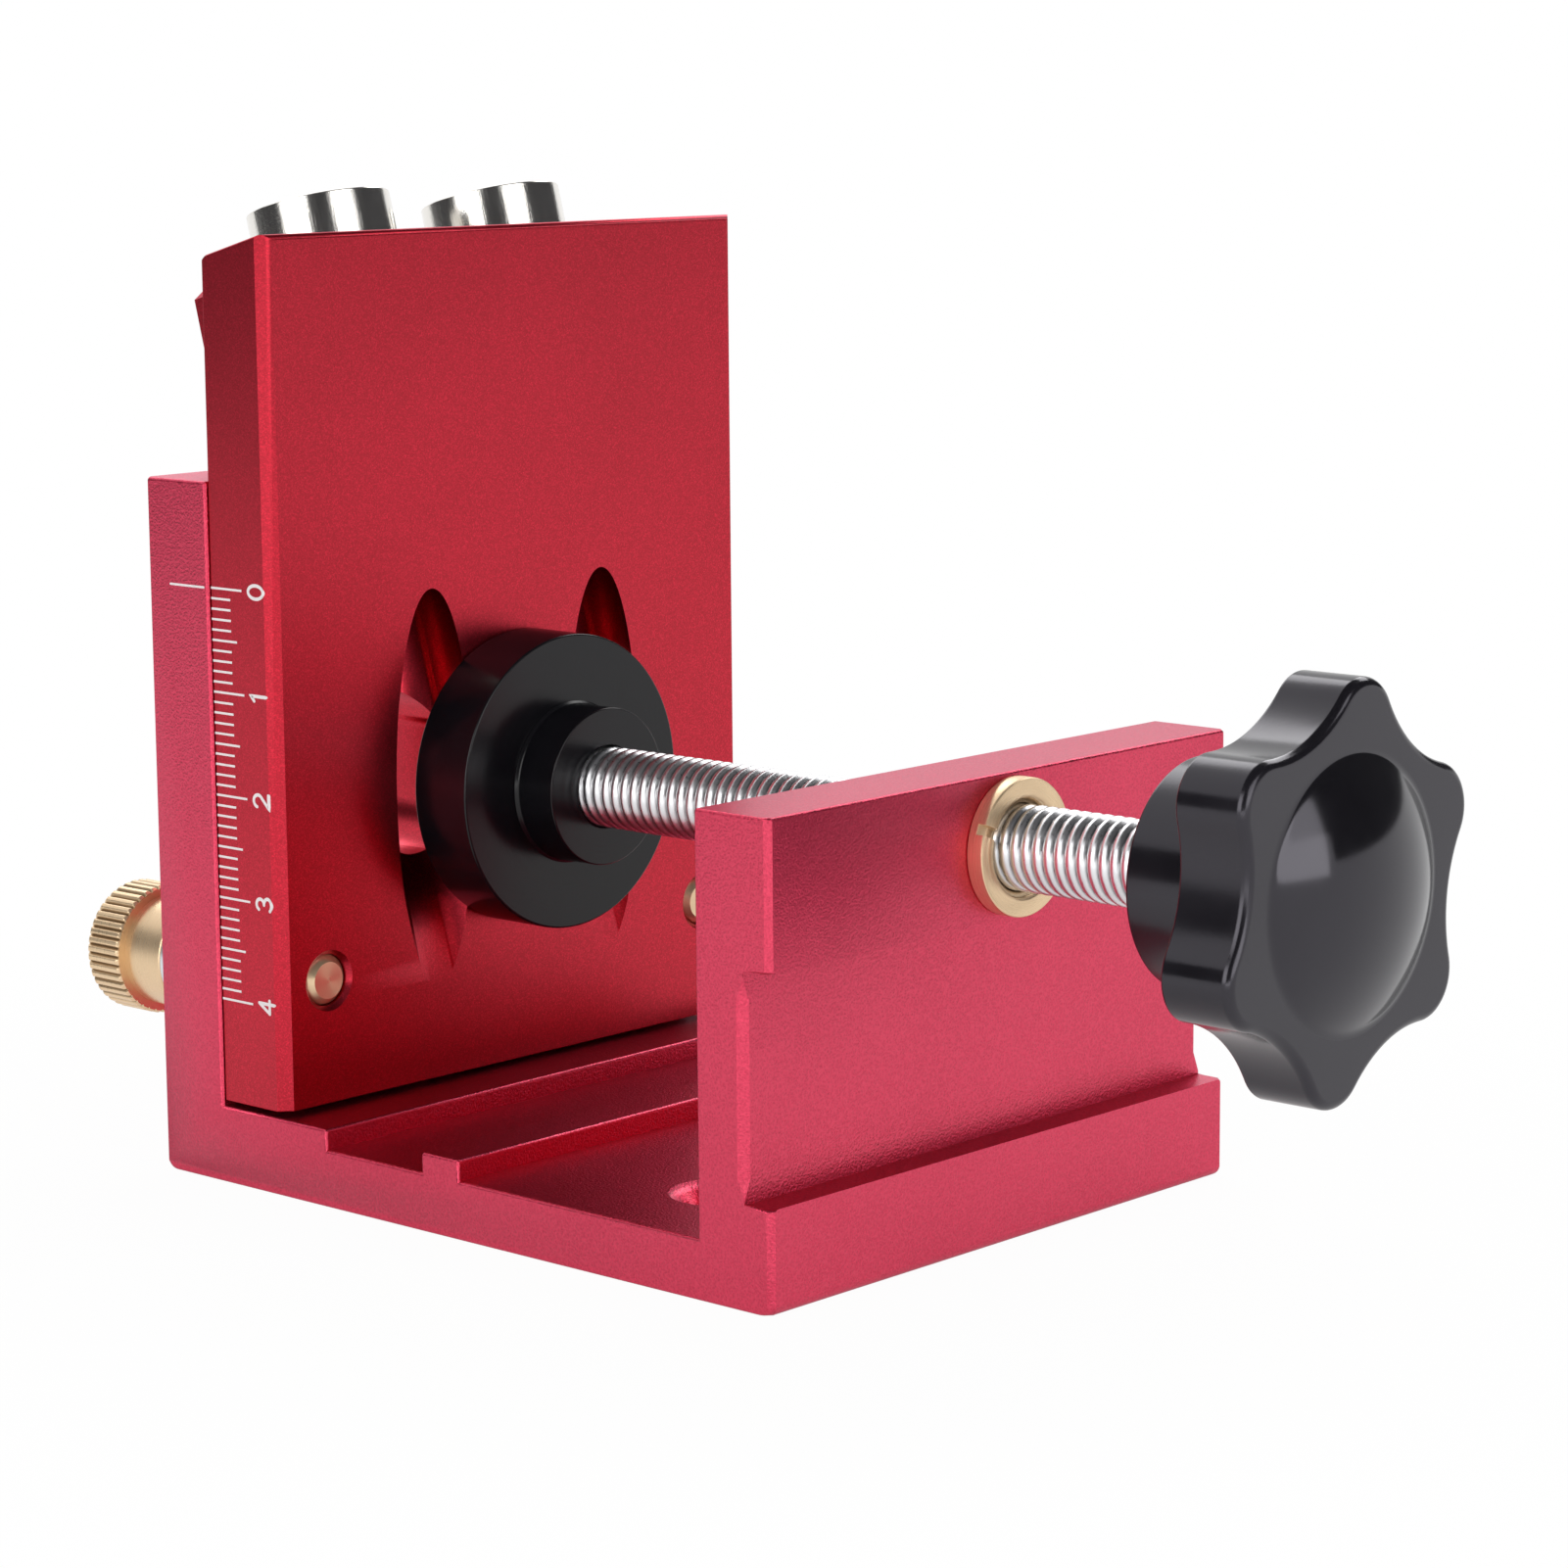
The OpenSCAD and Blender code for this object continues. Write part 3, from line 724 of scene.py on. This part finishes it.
KNURL_RADIUS, KNURL_LENGTH, KNURL_DEPTH, KNURL_TEETH = 6.5, 4.9, 0.36, 44
COLLAR_RADIUS, COLLAR_LENGTH, COLLAR_ROOT = 5.5, 5.2, 0.8
THUMB_THREAD, THUMB_PITCH, THUMB_TIP = 2.5, 0.8, 1.75
WASHER_HOLE = 2.8

for side in ("left", "right"):
    node = side + "_thumb_screw"
    low, high = box_mm(node)
    centre = middle(node)
    knurl_place = axis_at(low.x, centre.y, centre.z)
    collar_place = axis_at(low.x + KNURL_LENGTH, centre.y, centre.z)
    thread_place = axis_at(low.x + KNURL_LENGTH + COLLAR_LENGTH, centre.y, centre.z)
    head = knurl(node, knurl_place, KNURL_LENGTH, KNURL_RADIUS, KNURL_DEPTH, KNURL_TEETH, "brass")
    collar = turned(node, [(-COLLAR_ROOT, 0), (-COLLAR_ROOT, COLLAR_RADIUS), (COLLAR_LENGTH, COLLAR_RADIUS),
                           (COLLAR_LENGTH, 0)], collar_place, easing=0.3)
    shank = thread(node, thread_place, high.x - low.x - KNURL_LENGTH - COLLAR_LENGTH, THUMB_THREAD,
                   THUMB_PITCH, THUMB_TIP, "brass")
    head = mark_grooves(head, knurl_place, KNURL_LENGTH, KNURL_RADIUS, KNURL_DEPTH)
    whole = smoothed(joined([head, collar, shank]))
    piece(node + "_turned", mark_turning(whole, knurl_place), "brass", side + "_thumb", node)

    node = side + "_thumb_washer"
    low, high = box_mm(node)
    place = axis_at(low.x, centre.y, centre.z)
    thickness = high.x - low.x
    ring = turned(node, [(0, WASHER_HOLE), (0, COLLAR_RADIUS), (thickness, COLLAR_RADIUS),
                         (thickness, WASHER_HOLE)], place, easing=0.15, closed=True)
    piece(node + "_turned", smoothed(ring), "washer_steel", side + "_washer", node)


# Clamp: bush, screw, pad, collar

clamp = middle("clamp_pad")


def clamp_axis(x):
    """Frame on the clamp screw's axis."""
    return axis_at(x, clamp.y, clamp.z)


low, high = box_mm("clamp_bush")
bush_length = high.x - low.x
FLANGE, SLEEVE, FLANGE_LENGTH, BUSH_HOLE, BUSH_FLARE = 6.4, 5.2, 1.8, 4.05, 0.7
shell = turned("clamp_bush", [(0, BUSH_HOLE), (0, SLEEVE), (bush_length - FLANGE_LENGTH, SLEEVE),
                              (bush_length - FLANGE_LENGTH, FLANGE), (bush_length, FLANGE),
                              (bush_length, BUSH_HOLE + BUSH_FLARE), (bush_length - BUSH_FLARE, BUSH_HOLE)],
               clamp_axis(low.x), easing=0.25, closed=True)
SLOT_WIDTH, SLOT_DEPTH, SLOT_TURN = 1.0, 0.9, math.radians(-22)
cutter = bmesh.new()
bmesh.ops.create_cube(cutter, size=1.0, matrix=Matrix.Translation(Vector((high.x, clamp.y, clamp.z)) * MM)
                      @ Matrix.Rotation(SLOT_TURN, 4, "X")
                      @ Matrix.Diagonal((2 * SLOT_DEPTH * MM, 3 * FLANGE * MM, SLOT_WIDTH * MM, 1)))
slotted = cut_away(shell, mesh_of("driver_slot", cutter))
slotted = mark_turning(smoothed(slotted, CUT_SHARP), clamp_axis(low.x))
piece("clamp_bush_turned", slotted, "brass", "base", "clamp_bush")

low, high = box_mm("clamp_screw")
SCREW_RADIUS, SCREW_PITCH, SCREW_BREAK, HEAD_RADIUS, HEAD_LENGTH = 4.0, 1.25, 0.6, 5.2, 2.0
head = turned("clamp_screw", [(0, 0), (0, HEAD_RADIUS), (HEAD_LENGTH, HEAD_RADIUS), (HEAD_LENGTH, 0)],
              clamp_axis(low.x), easing=0.2)
rod_place, rod_length = clamp_axis(low.x + HEAD_LENGTH), high.x - low.x - HEAD_LENGTH
rod = thread("clamp_screw", rod_place, rod_length, SCREW_RADIUS, SCREW_PITCH, SCREW_RADIUS - SCREW_BREAK,
             "screw_steel")
rod = mark_grooves(rod, rod_place, rod_length, SCREW_RADIUS, THREAD_DEPTH * SCREW_PITCH)
piece("clamp_screw_threaded", smoothed(joined([rod, head])), "screw_steel", "screw", "clamp_screw")

pad_axis = clamp_axis(box_mm("clamp_pad")[0].x)
PAD_RADIUS, PAD_THICKNESS, PAD_FLOOR, POCKET, PAD_SEAT, SPIGOT_AT = 14.7, 7.1, 2.0, 5.5, 6.52, 4.1
pad = turned("clamp_pad", [(0, 0), (0, PAD_RADIUS), (PAD_THICKNESS, PAD_RADIUS), (PAD_THICKNESS, PAD_SEAT),
                           (SPIGOT_AT, PAD_SEAT), (SPIGOT_AT, POCKET), (PAD_FLOOR, POCKET), (PAD_FLOOR, 0)],
             pad_axis, easing=0.22)
piece("clamp_pad_turned", mark_turning(smoothed(pad), pad_axis), "black_pad", "pad", "clamp_pad")

low, high = box_mm("pad_collar")
COLLAR_HOLE, SPIGOT, HUB_RADIUS, HUB_FOOT, SEAT_GAP = 4.1, 6.5, 7.8, 0.35, 0.02
rise = PAD_THICKNESS - SPIGOT_AT + SEAT_GAP
hub_end = high.x - low.x
collar = turned("pad_collar", [(0, COLLAR_HOLE), (0, SPIGOT), (rise, SPIGOT), (rise, HUB_RADIUS + HUB_FOOT),
                               (rise + HUB_FOOT, HUB_RADIUS), (hub_end, HUB_RADIUS), (hub_end, COLLAR_HOLE)],
                clamp_axis(low.x), easing=0.15, closed=True)
collar = mark_turning(smoothed(collar), clamp_axis(low.x))
piece("pad_collar_turned", collar, "black_pad", "pad", "pad_collar")


# Star knob and its cap

LOBES, LOBE_TURN = 6, math.radians(22.5)
LOBE_TIP, LOBE_VALLEY, LOBE_RADIUS = 18.6, 15.2, 4.3
KNOB_HUB, KNOB_HUB_LENGTH, KNOB_BORE = 10.4, 9.2, 4.02
KNOB_ROUND, KNOB_BACK_ROUND = 0.9, 0.35
NUT_POCKET, NUT_POCKET_DEPTH, CAP_SEAT, CAP_SEAT_DEPTH = 7.53, 6.2, 12.5, 1.2
# How finely the outline and the rounded rims are drawn
KNOB_STEPS, RIM_STEPS = 288, 6


def lobe_outline():
    """Round lobes joined by round hollows, as (point, outward direction) pairs."""
    half = math.pi / LOBES
    centre = LOBE_TIP - LOBE_RADIUS
    hollow = ((centre ** 2 + LOBE_VALLEY ** 2 - 2 * centre * LOBE_VALLEY * math.cos(half) - LOBE_RADIUS ** 2)
              / (2 * (LOBE_RADIUS - LOBE_VALLEY + centre * math.cos(half))))
    far = LOBE_VALLEY + hollow
    lobe_spot = Vector((centre, 0))
    hollow_spot = Vector((far * math.cos(half), far * math.sin(half)))
    meeting = lobe_spot + (hollow_spot - lobe_spot) * LOBE_RADIUS / (LOBE_RADIUS + hollow)
    meeting_angle = math.atan2(meeting.y, meeting.x)
    points = []
    for k in range(KNOB_STEPS):
        angle = TURN * k / KNOB_STEPS
        from_lobe = abs((angle + half) % (2 * half) - half)
        if from_lobe <= meeting_angle:
            radius = centre * math.cos(from_lobe) + math.sqrt(
                LOBE_RADIUS ** 2 - (centre * math.sin(from_lobe)) ** 2)
        else:
            radius = far * math.cos(half - from_lobe) - math.sqrt(
                hollow ** 2 - (far * math.sin(half - from_lobe)) ** 2)
        points.append(Vector((math.cos(angle + LOBE_TURN), math.sin(angle + LOBE_TURN))) * radius)
    pairs = []
    for k, point in enumerate(points):
        along = points[(k + 1) % KNOB_STEPS] - points[k - 1]
        pairs.append((point, Vector((along.y, -along.x)).normalized()))
    return pairs


def knob_mesh(low, high):
    """Lobed disc with rounded rims on a round hub, hollow for its nut and cap."""
    outline = lobe_outline()
    circle = [Vector((math.cos(a), math.sin(a))) for a in
              (TURN * k / KNOB_STEPS + LOBE_TURN for k in range(KNOB_STEPS))]
    lobe_x, seat_x, nut_x = low + KNOB_HUB_LENGTH, high - CAP_SEAT_DEPTH, high - NUT_POCKET_DEPTH

    def rounding(radius):
        return [(radius * (1 - math.cos(t)), radius * (1 - math.sin(t)))
                for t in (TURN / 4 * k / RIM_STEPS for k in range(RIM_STEPS + 1))]

    def round_ring(x, radius):
        return [(x, point * radius) for point in circle]

    def lobe_ring(x, inset):
        return [(x, point - outward * inset) for point, outward in outline]

    rings = [round_ring(low, KNOB_BORE)]
    rings += [round_ring(low + rise, KNOB_HUB - inset) for rise, inset in rounding(KNOB_BACK_ROUND)]
    rings += [round_ring(lobe_x, KNOB_HUB)]
    rings += [lobe_ring(lobe_x + rise, inset) for rise, inset in rounding(KNOB_BACK_ROUND)]
    rings += [lobe_ring(high - rise, inset) for rise, inset in reversed(rounding(KNOB_ROUND))]
    rings += [round_ring(high, CAP_SEAT), round_ring(seat_x, CAP_SEAT), round_ring(seat_x, NUT_POCKET),
              round_ring(nut_x, NUT_POCKET), round_ring(nut_x, KNOB_BORE)]
    bm = bmesh.new()
    corners = [[bm.verts.new(Vector((x, clamp.y + p.x, clamp.z + p.y)) * MM) for x, p in ring]
               for ring in rings]
    skin_rings(bm, corners, True)
    return mesh_of("clamp_knob", bm)


low, high = box_mm("clamp_knob")
piece("clamp_knob_lobed", smoothed(knob_mesh(low.x, high.x)), "black_knob", "screw", "clamp_knob")

low, high = box_mm("knob_cap")
CAP_RADIUS, CAP_RISE, DOME_RADIUS, DOME_RISE, FLARE = 12.5, 3.8, 11.6, 3.5, 0.369
SKIRT_STEPS, DOME_STEPS = 5, 32
sphere = (DOME_RADIUS ** 2 + DOME_RISE ** 2) / (2 * DOME_RISE)
top = high.x - low.x
skirt = [(top - CAP_RISE + FLARE * (CAP_RADIUS - r) ** 2, r)
         for r in (CAP_RADIUS - (CAP_RADIUS - DOME_RADIUS) * k / SKIRT_STEPS for k in range(SKIRT_STEPS))]
dome = [(top - sphere + math.sqrt(sphere ** 2 - r ** 2), r)
        for r in (DOME_RADIUS * (1 - k / DOME_STEPS) for k in range(DOME_STEPS))]
cap = turned("knob_cap", [(0, 0), (0, CAP_RADIUS), *skirt, *dome, (top, 0)], clamp_axis(low.x), easing=0)
piece("knob_cap_domed", smoothed(cap), "black_cap", "screw", "knob_cap")

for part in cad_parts["knob_nut"].material_slots:
    part.material = finish["washer_steel"]


# Scale on the block and index line on the back wall

MARK_HEIGHT, MARK_DEPTH = 0.02, 0.04
SCALE_ZERO, SCALE_START, TICKS, TICKS_A_NUMERAL = 58.28, -31.45, 41, 10
TICK_SHORT, TICK_MIDDLE, TICK_LONG, TICK_WIDTH = 2.75, 3.55, 4.4, 0.22
INDEX_START, INDEX_END = -37.0, -32.1


def scale_tree():
    """Row of marks down the -Z direction, longer at each five and ten."""
    tree = bpy.data.node_groups.new("scale_marks", "GeometryNodeTree")
    tree.interface.new_socket("Marks", in_out="OUTPUT", socket_type="NodeSocketGeometry")
    tree.interface.new_socket("Count", in_out="INPUT", socket_type="NodeSocketInt")
    for name in ("Step", "Short", "Middle", "Long", "Width", "Depth"):
        tree.interface.new_socket(name, in_out="INPUT", socket_type="NodeSocketFloat")
    tree.interface.new_socket("Finish", in_out="INPUT", socket_type="NodeSocketMaterial")
    size = tree.nodes.new("NodeGroupInput").outputs
    step = tree.nodes.new("ShaderNodeCombineXYZ")
    tree.links.new(maths(tree, "MULTIPLY", size["Step"], -1.0), step.inputs["Z"])
    row = tree.nodes.new("GeometryNodeMeshLine")
    tree.links.new(size["Count"], row.inputs["Count"])
    tree.links.new(step.outputs[0], row.inputs["Offset"])
    index = tree.nodes.new("GeometryNodeInputIndex").outputs[0]
    length = size["Short"]
    for every, shorter, longer in ((5, "Short", "Middle"), (10, "Middle", "Long")):
        hit = maths(tree, "LESS_THAN", maths(tree, "MODULO", index, float(every)), 0.5)
        gain = maths(tree, "SUBTRACT", size[longer], size[shorter])
        length = maths(tree, "MULTIPLY_ADD", hit, gain, length)
    scale = tree.nodes.new("ShaderNodeCombineXYZ")
    for socket, value in zip(scale.inputs, (length, size["Depth"], size["Width"])):
        tree.links.new(value, socket)
    mark = tree.nodes.new("GeometryNodeMeshCube")
    mark.inputs["Size"].default_value = (1, 1, 1)
    shift = tree.nodes.new("GeometryNodeTransform")
    shift.inputs["Translation"].default_value = (0.5, 0, 0)
    tree.links.new(mark.outputs["Mesh"], shift.inputs[0])
    copies = tree.nodes.new("GeometryNodeInstanceOnPoints")
    tree.links.new(row.outputs[0], copies.inputs["Points"])
    tree.links.new(shift.outputs[0], copies.inputs["Instance"])
    tree.links.new(scale.outputs[0], copies.inputs["Scale"])
    real = tree.nodes.new("GeometryNodeRealizeInstances")
    tree.links.new(copies.outputs[0], real.inputs[0])
    paint = tree.nodes.new("GeometryNodeSetMaterial")
    tree.links.new(real.outputs[0], paint.inputs[0])
    tree.links.new(size["Finish"], paint.inputs["Material"])
    tree.links.new(paint.outputs[0], tree.nodes.new("NodeGroupOutput").inputs[0])
    return tree


def arc(x, y, across, up, start, end, steps=14):
    """Part of an ellipse, its angles in degrees."""
    return [(x + across * math.cos(math.radians(start + (end - start) * k / steps)),
             y + up * math.sin(math.radians(start + (end - start) * k / steps))) for k in range(steps + 1)]


# Numerals as pen strokes in a box one unit wide and one unit high
NUMERALS = {
    "0": [arc(0.5, 0.5, 0.5, 0.5, 90, 450, 28)],
    "1": [[(0.18, 0.78), (0.55, 1.0), (0.55, 0.0)]],
    "2": [arc(0.5, 0.7, 0.46, 0.3, 165, -35) + [(0.0, 0.0), (1.0, 0.0)]],
    "3": [arc(0.46, 0.75, 0.42, 0.25, 155, -90), arc(0.46, 0.25, 0.5, 0.25, 90, -145)],
    "4": [[(0.72, 0.0), (0.72, 1.0)], [(0.72, 1.0), (0.0, 0.3)], [(0.0, 0.3), (1.0, 0.3)]],
}
NUMERAL_HEIGHT, NUMERAL_WIDTH, PEN = 2.12, 1.27, 0.165


# Least cosine of a stroke's bend, angles of the points on its round ends, and least width of an end
LEAST_BEND, END_ANGLES, LEAST_END = 0.5, (0.6, 1.1, math.pi / 2), 0.05


def pen_stroke(bm, points, pen, put):
    """Flat raised stroke with round ends along the points; put(x, y, rise) gives each corner's place."""
    corners = [Vector(p) for p in points]
    points = corners[:1]
    for first, last in zip(corners, corners[1:]):
        steps = max(math.ceil((last - first).length / pen), 1)
        points += [first.lerp(last, (k + 1) / steps) for k in range(steps)]
    closed = (points[0] - points[-1]).length < TINY
    if closed:
        points = points[:-1]
    count = len(points)
    stations = []
    for k, point in enumerate(points):
        before = points[k - 1] if k or closed else point
        after = points[(k + 1) % count] if k < count - 1 or closed else point
        first, second = (point - before), (after - point)
        along = (first.normalized() + second.normalized()).normalized()
        bend = max(along.dot((second if second.length else first).normalized()), LEAST_BEND)
        stations.append((point, along, pen / bend))
    if not closed:
        for end, sign in ((0, -1), (-1, 1)):
            point, along, _ = stations[end]
            caps = [(point + along * sign * pen * math.sin(t), along, pen * max(math.cos(t), LEAST_END))
                    for t in END_ANGLES]
            stations = list(reversed(caps)) + stations if end == 0 else stations + caps
    rings = []
    for point, along, width in stations:
        side = Vector((-along.y, along.x)) * width
        rings.append([bm.verts.new(put(*(point + side * s), rise)) for s, rise in
                      ((1, 0), (1, 1), (0, 1), (-1, 1), (-1, 0))])
    skin_rings(bm, rings, closed)
    if not closed:
        bm.faces.new(rings[0])
        bm.faces.new(rings[-1])


block_low = box_mm("guide_block")[0]
ticks = grown(scale_tree(), "scale", axis_at(SCALE_START, block_low.y, SCALE_ZERO), Count=TICKS,
              Step=1.0 * MM, Short=TICK_SHORT * MM, Middle=TICK_MIDDLE * MM, Long=TICK_LONG * MM,
              Width=TICK_WIDTH * MM, Depth=2 * MARK_HEIGHT * MM, Finish=finish["marks"])

# Where the block's end meets its corner chamfer, and how strokes lift as they cross that edge
CHAMFER_FROM, EDGE_LIFT, EDGE_REACH = -23.93, 0.05, 0.3
# Middle of the numerals, and how much higher each further stroke of a numeral lies
NUMERAL_X, STROKE_RISE = -25.05, 0.2


def on_block(x_mid, z_mid, height):
    """Places a numeral on the block's end, read from below, and down over its chamfered corner."""
    def put(x, y, rise):
        along = x_mid - y + NUMERAL_HEIGHT / 2
        past = along - CHAMFER_FROM
        over = max(past, 0.0)
        lift = height + EDGE_LIFT * max(1 - abs(past) / EDGE_REACH, 0) if rise else -MARK_DEPTH
        return Vector((along, block_low.y + over - lift, z_mid + x - NUMERAL_WIDTH / 2)) * MM
    return put


strokes = bmesh.new()
for step, numeral in enumerate(NUMERALS.values()):
    for layer, points in enumerate(numeral):
        lift = MARK_HEIGHT * (1 + STROKE_RISE * layer)
        put = on_block(NUMERAL_X, SCALE_ZERO - TICKS_A_NUMERAL * step, lift)
        pen_stroke(strokes, [(x * NUMERAL_WIDTH, y * NUMERAL_HEIGHT) for x, y in points], PEN, put)
piece("block_scale", joined([ticks, mesh_of("numerals", strokes)]), "marks", "guide")


def on_back_wall(x, z, rise):
    """Places the index line on the base's end."""
    return Vector((x, base_low.y - (MARK_HEIGHT if rise else -MARK_DEPTH), z)) * MM


index = bmesh.new()
pen_stroke(index, [(INDEX_START, SCALE_ZERO), (INDEX_END, SCALE_ZERO)], TICK_WIDTH / 2, on_back_wall)
piece("index_line", mesh_of("index_line", index), "marks", "base")


# Camera, floor and light

AZIMUTH, ELEVATION, ROLL = math.radians(42.180), math.radians(9.3933), -0.007692
CAMERA_SPOT = Vector((283.611, -298.913, 106.542))
camera_data = bpy.data.cameras.new("camera")
camera_data.sensor_width = 36.0
camera_data.lens = 99.075
camera_data.clip_start = 0.01
camera = bpy.data.objects.new("camera", camera_data)
scene.collection.objects.link(camera)
back = Vector((math.sin(AZIMUTH) * math.cos(ELEVATION), -math.cos(AZIMUTH) * math.cos(ELEVATION),
               math.sin(ELEVATION)))
right = Vector((math.cos(AZIMUTH), math.sin(AZIMUTH), 0))
up = back.cross(right)
tilted_right = right * math.cos(ROLL) + up * math.sin(ROLL)
tilted_up = up * math.cos(ROLL) - right * math.sin(ROLL)
camera_turn = Matrix((tilted_right, tilted_up, back)).transposed().to_4x4()
camera.matrix_world = Matrix.Translation(CAMERA_SPOT * MM) @ camera_turn
scene.camera = camera

scene.view_settings.view_transform = "Standard"


def seen_directly(tree):
    """1 for what the camera sees, straight on, in a reflection or through glass."""
    path = tree.nodes.new("ShaderNodeLightPath").outputs
    most = maths(tree, "MAXIMUM", path["Is Camera Ray"], path["Is Glossy Ray"])
    return maths(tree, "MAXIMUM", most, path["Is Transmission Ray"])


def white_floor():
    """Pale floor that reads white and keeps the soft shadow near the jig."""
    material = bpy.data.materials.new("white_floor")
    material.use_nodes = True
    tree = material.node_tree
    tree.nodes.clear()
    matt = tree.nodes.new("ShaderNodeBsdfDiffuse")
    matt.inputs["Color"].default_value = (0.9, 0.9, 0.9, 1)
    glow = tree.nodes.new("ShaderNodeEmission")
    mix = tree.nodes.new("ShaderNodeMixShader")
    away = tree.nodes.new("ShaderNodeVectorMath")
    away.operation = "LENGTH"
    tree.links.new(object_place(tree), away.inputs[0])
    path = tree.nodes.new("ShaderNodeLightPath").outputs
    seen = map_range(tree, away.outputs["Value"], 0.05, 0.16, 0.965, 1.0, "SMOOTHSTEP")
    mirrored = map_range(tree, away.outputs["Value"], 0.05, 0.14, 0.45, 1.0, "SMOOTHSTEP")
    in_mirror = maths(tree, "MAXIMUM", path["Is Glossy Ray"], path["Is Transmission Ray"])
    white = maths(tree, "MAXIMUM", maths(tree, "MULTIPLY", seen, path["Is Camera Ray"]),
                  maths(tree, "MULTIPLY", mirrored, in_mirror))
    tree.links.new(white, mix.inputs["Fac"])
    tree.links.new(matt.outputs[0], mix.inputs[1])
    tree.links.new(glow.outputs[0], mix.inputs[2])
    out = tree.nodes.new("ShaderNodeOutputMaterial")
    tree.links.new(mix.outputs[0], out.inputs["Surface"])
    return material


def flat_sheet(name, width, height, matrix, material):
    """Plain sheet for the studio: the floor or a card."""
    bm = bmesh.new()
    bmesh.ops.create_grid(bm, x_segments=1, y_segments=1, size=0.5,
                          matrix=matrix @ Matrix.Diagonal((width, height, 1, 1)))
    mesh = bpy.data.meshes.new(name)
    bm.to_mesh(mesh)
    bm.free()
    mesh.materials.append(material)
    sheet = bpy.data.objects.new(name, mesh)
    scene.collection.objects.link(sheet)
    return sheet


flat_sheet("floor", 8.0, 8.0, Matrix.Translation((0, 0, -0.0001)), white_floor())


def facing(azimuth, height, distance):
    """Matrix of a sheet that stands round the jig and faces it; the azimuth is from +X towards +Y."""
    spot = Vector((distance * math.cos(math.radians(azimuth)), distance * math.sin(math.radians(azimuth)),
                   height))
    aim = (Vector((0, 0, 0.05)) - spot).to_track_quat("-Z", "Y")
    return Matrix.Translation(spot) @ aim.to_matrix().to_4x4()


def black_card():
    """Dark card of the screens."""
    material, tree, shader = new_finish("black_card", Roughness=1.0)
    tint(tree, shader, grain(tree, object_place(tree), 50.0), (0.03, 0.03, 0.033), (0.05, 0.05, 0.053))
    return material


def only_in_reflections(card):
    """Keep a card out of the picture, the shadows and the soft light."""
    card.visible_camera = False
    card.visible_shadow = False
    card.visible_diffuse = False


SCREEN_STEPS = 16


def screen(name, start, end, radius, low, high):
    """Curved black screen round the jig, seen only in reflections; its azimuths run from +X towards +Y."""
    bm = bmesh.new()
    columns = []
    for k in range(SCREEN_STEPS + 1):
        angle = math.radians(start + (end - start) * k / SCREEN_STEPS)
        x, y = radius * math.cos(angle), radius * math.sin(angle)
        columns.append([bm.verts.new((x, y, z)) for z in (low, high)])
    for first, second in zip(columns, columns[1:]):
        bm.faces.new((first[0], second[0], second[1], first[1]))
    mesh = bpy.data.meshes.new(name)
    bm.to_mesh(mesh)
    bm.free()
    mesh.materials.append(card_black)
    card = bpy.data.objects.new(name, mesh)
    scene.collection.objects.link(card)
    only_in_reflections(card)


card_black = black_card()
screen("screen_right", 17, 95, 0.6, 0.11, 0.4)
screen("screen_left", -165, -110, 0.6, 0.03, 0.32)
screen("screen_camera", -65, -23, 0.9, 0.08, 0.5)

ceiling = flat_sheet("screen_ceiling", 2.5, 2.6, Matrix.Translation((0.95, 0, 0.8)), card_black)
only_in_reflections(ceiling)

# Lamps: azimuth, height, distance, width, height of the lit face and power
LAMPS = {
    "softbox_right": (-3, 0.42, 1.0, 0.7, 0.7, 3.6),
    "softbox_left": (-86, 0.42, 1.0, 0.7, 0.7, 3.6),
    "softbox_rear": (92, 0.5, 0.55, 0.5, 0.25, 1.5),
    "softbox_back": (150, 0.75, 0.8, 0.5, 0.5, 2.0),
    "light_bar_front": (-44, 0.015, 0.62, 0.5, 0.06, 0.3),
}
for name, (azimuth, height, distance, width, tall, watts) in LAMPS.items():
    lamp = bpy.data.lights.new(name, "AREA")
    lamp.shape = "RECTANGLE"
    lamp.size, lamp.size_y, lamp.energy = width, tall, watts
    lamp_object = bpy.data.objects.new(name, lamp)
    lamp_object.matrix_world = facing(azimuth, height, distance)
    scene.collection.objects.link(lamp_object)

world = bpy.data.worlds.new("studio")
scene.world = world
world.use_nodes = True
tree = world.node_tree
room = tree.nodes["Background"]
room.inputs["Color"].default_value = (1, 1, 1, 1)
room.inputs["Strength"].default_value = 0.45
white = tree.nodes.new("ShaderNodeBackground")
white.inputs["Color"].default_value = (1, 1, 1, 1)
white.inputs["Strength"].default_value = 1.0
mix = tree.nodes.new("ShaderNodeMixShader")
tree.links.new(seen_directly(tree), mix.inputs["Fac"])
tree.links.new(room.outputs[0], mix.inputs[1])
tree.links.new(white.outputs[0], mix.inputs[2])
tree.links.new(mix.outputs[0], tree.nodes["World Output"].inputs["Surface"])
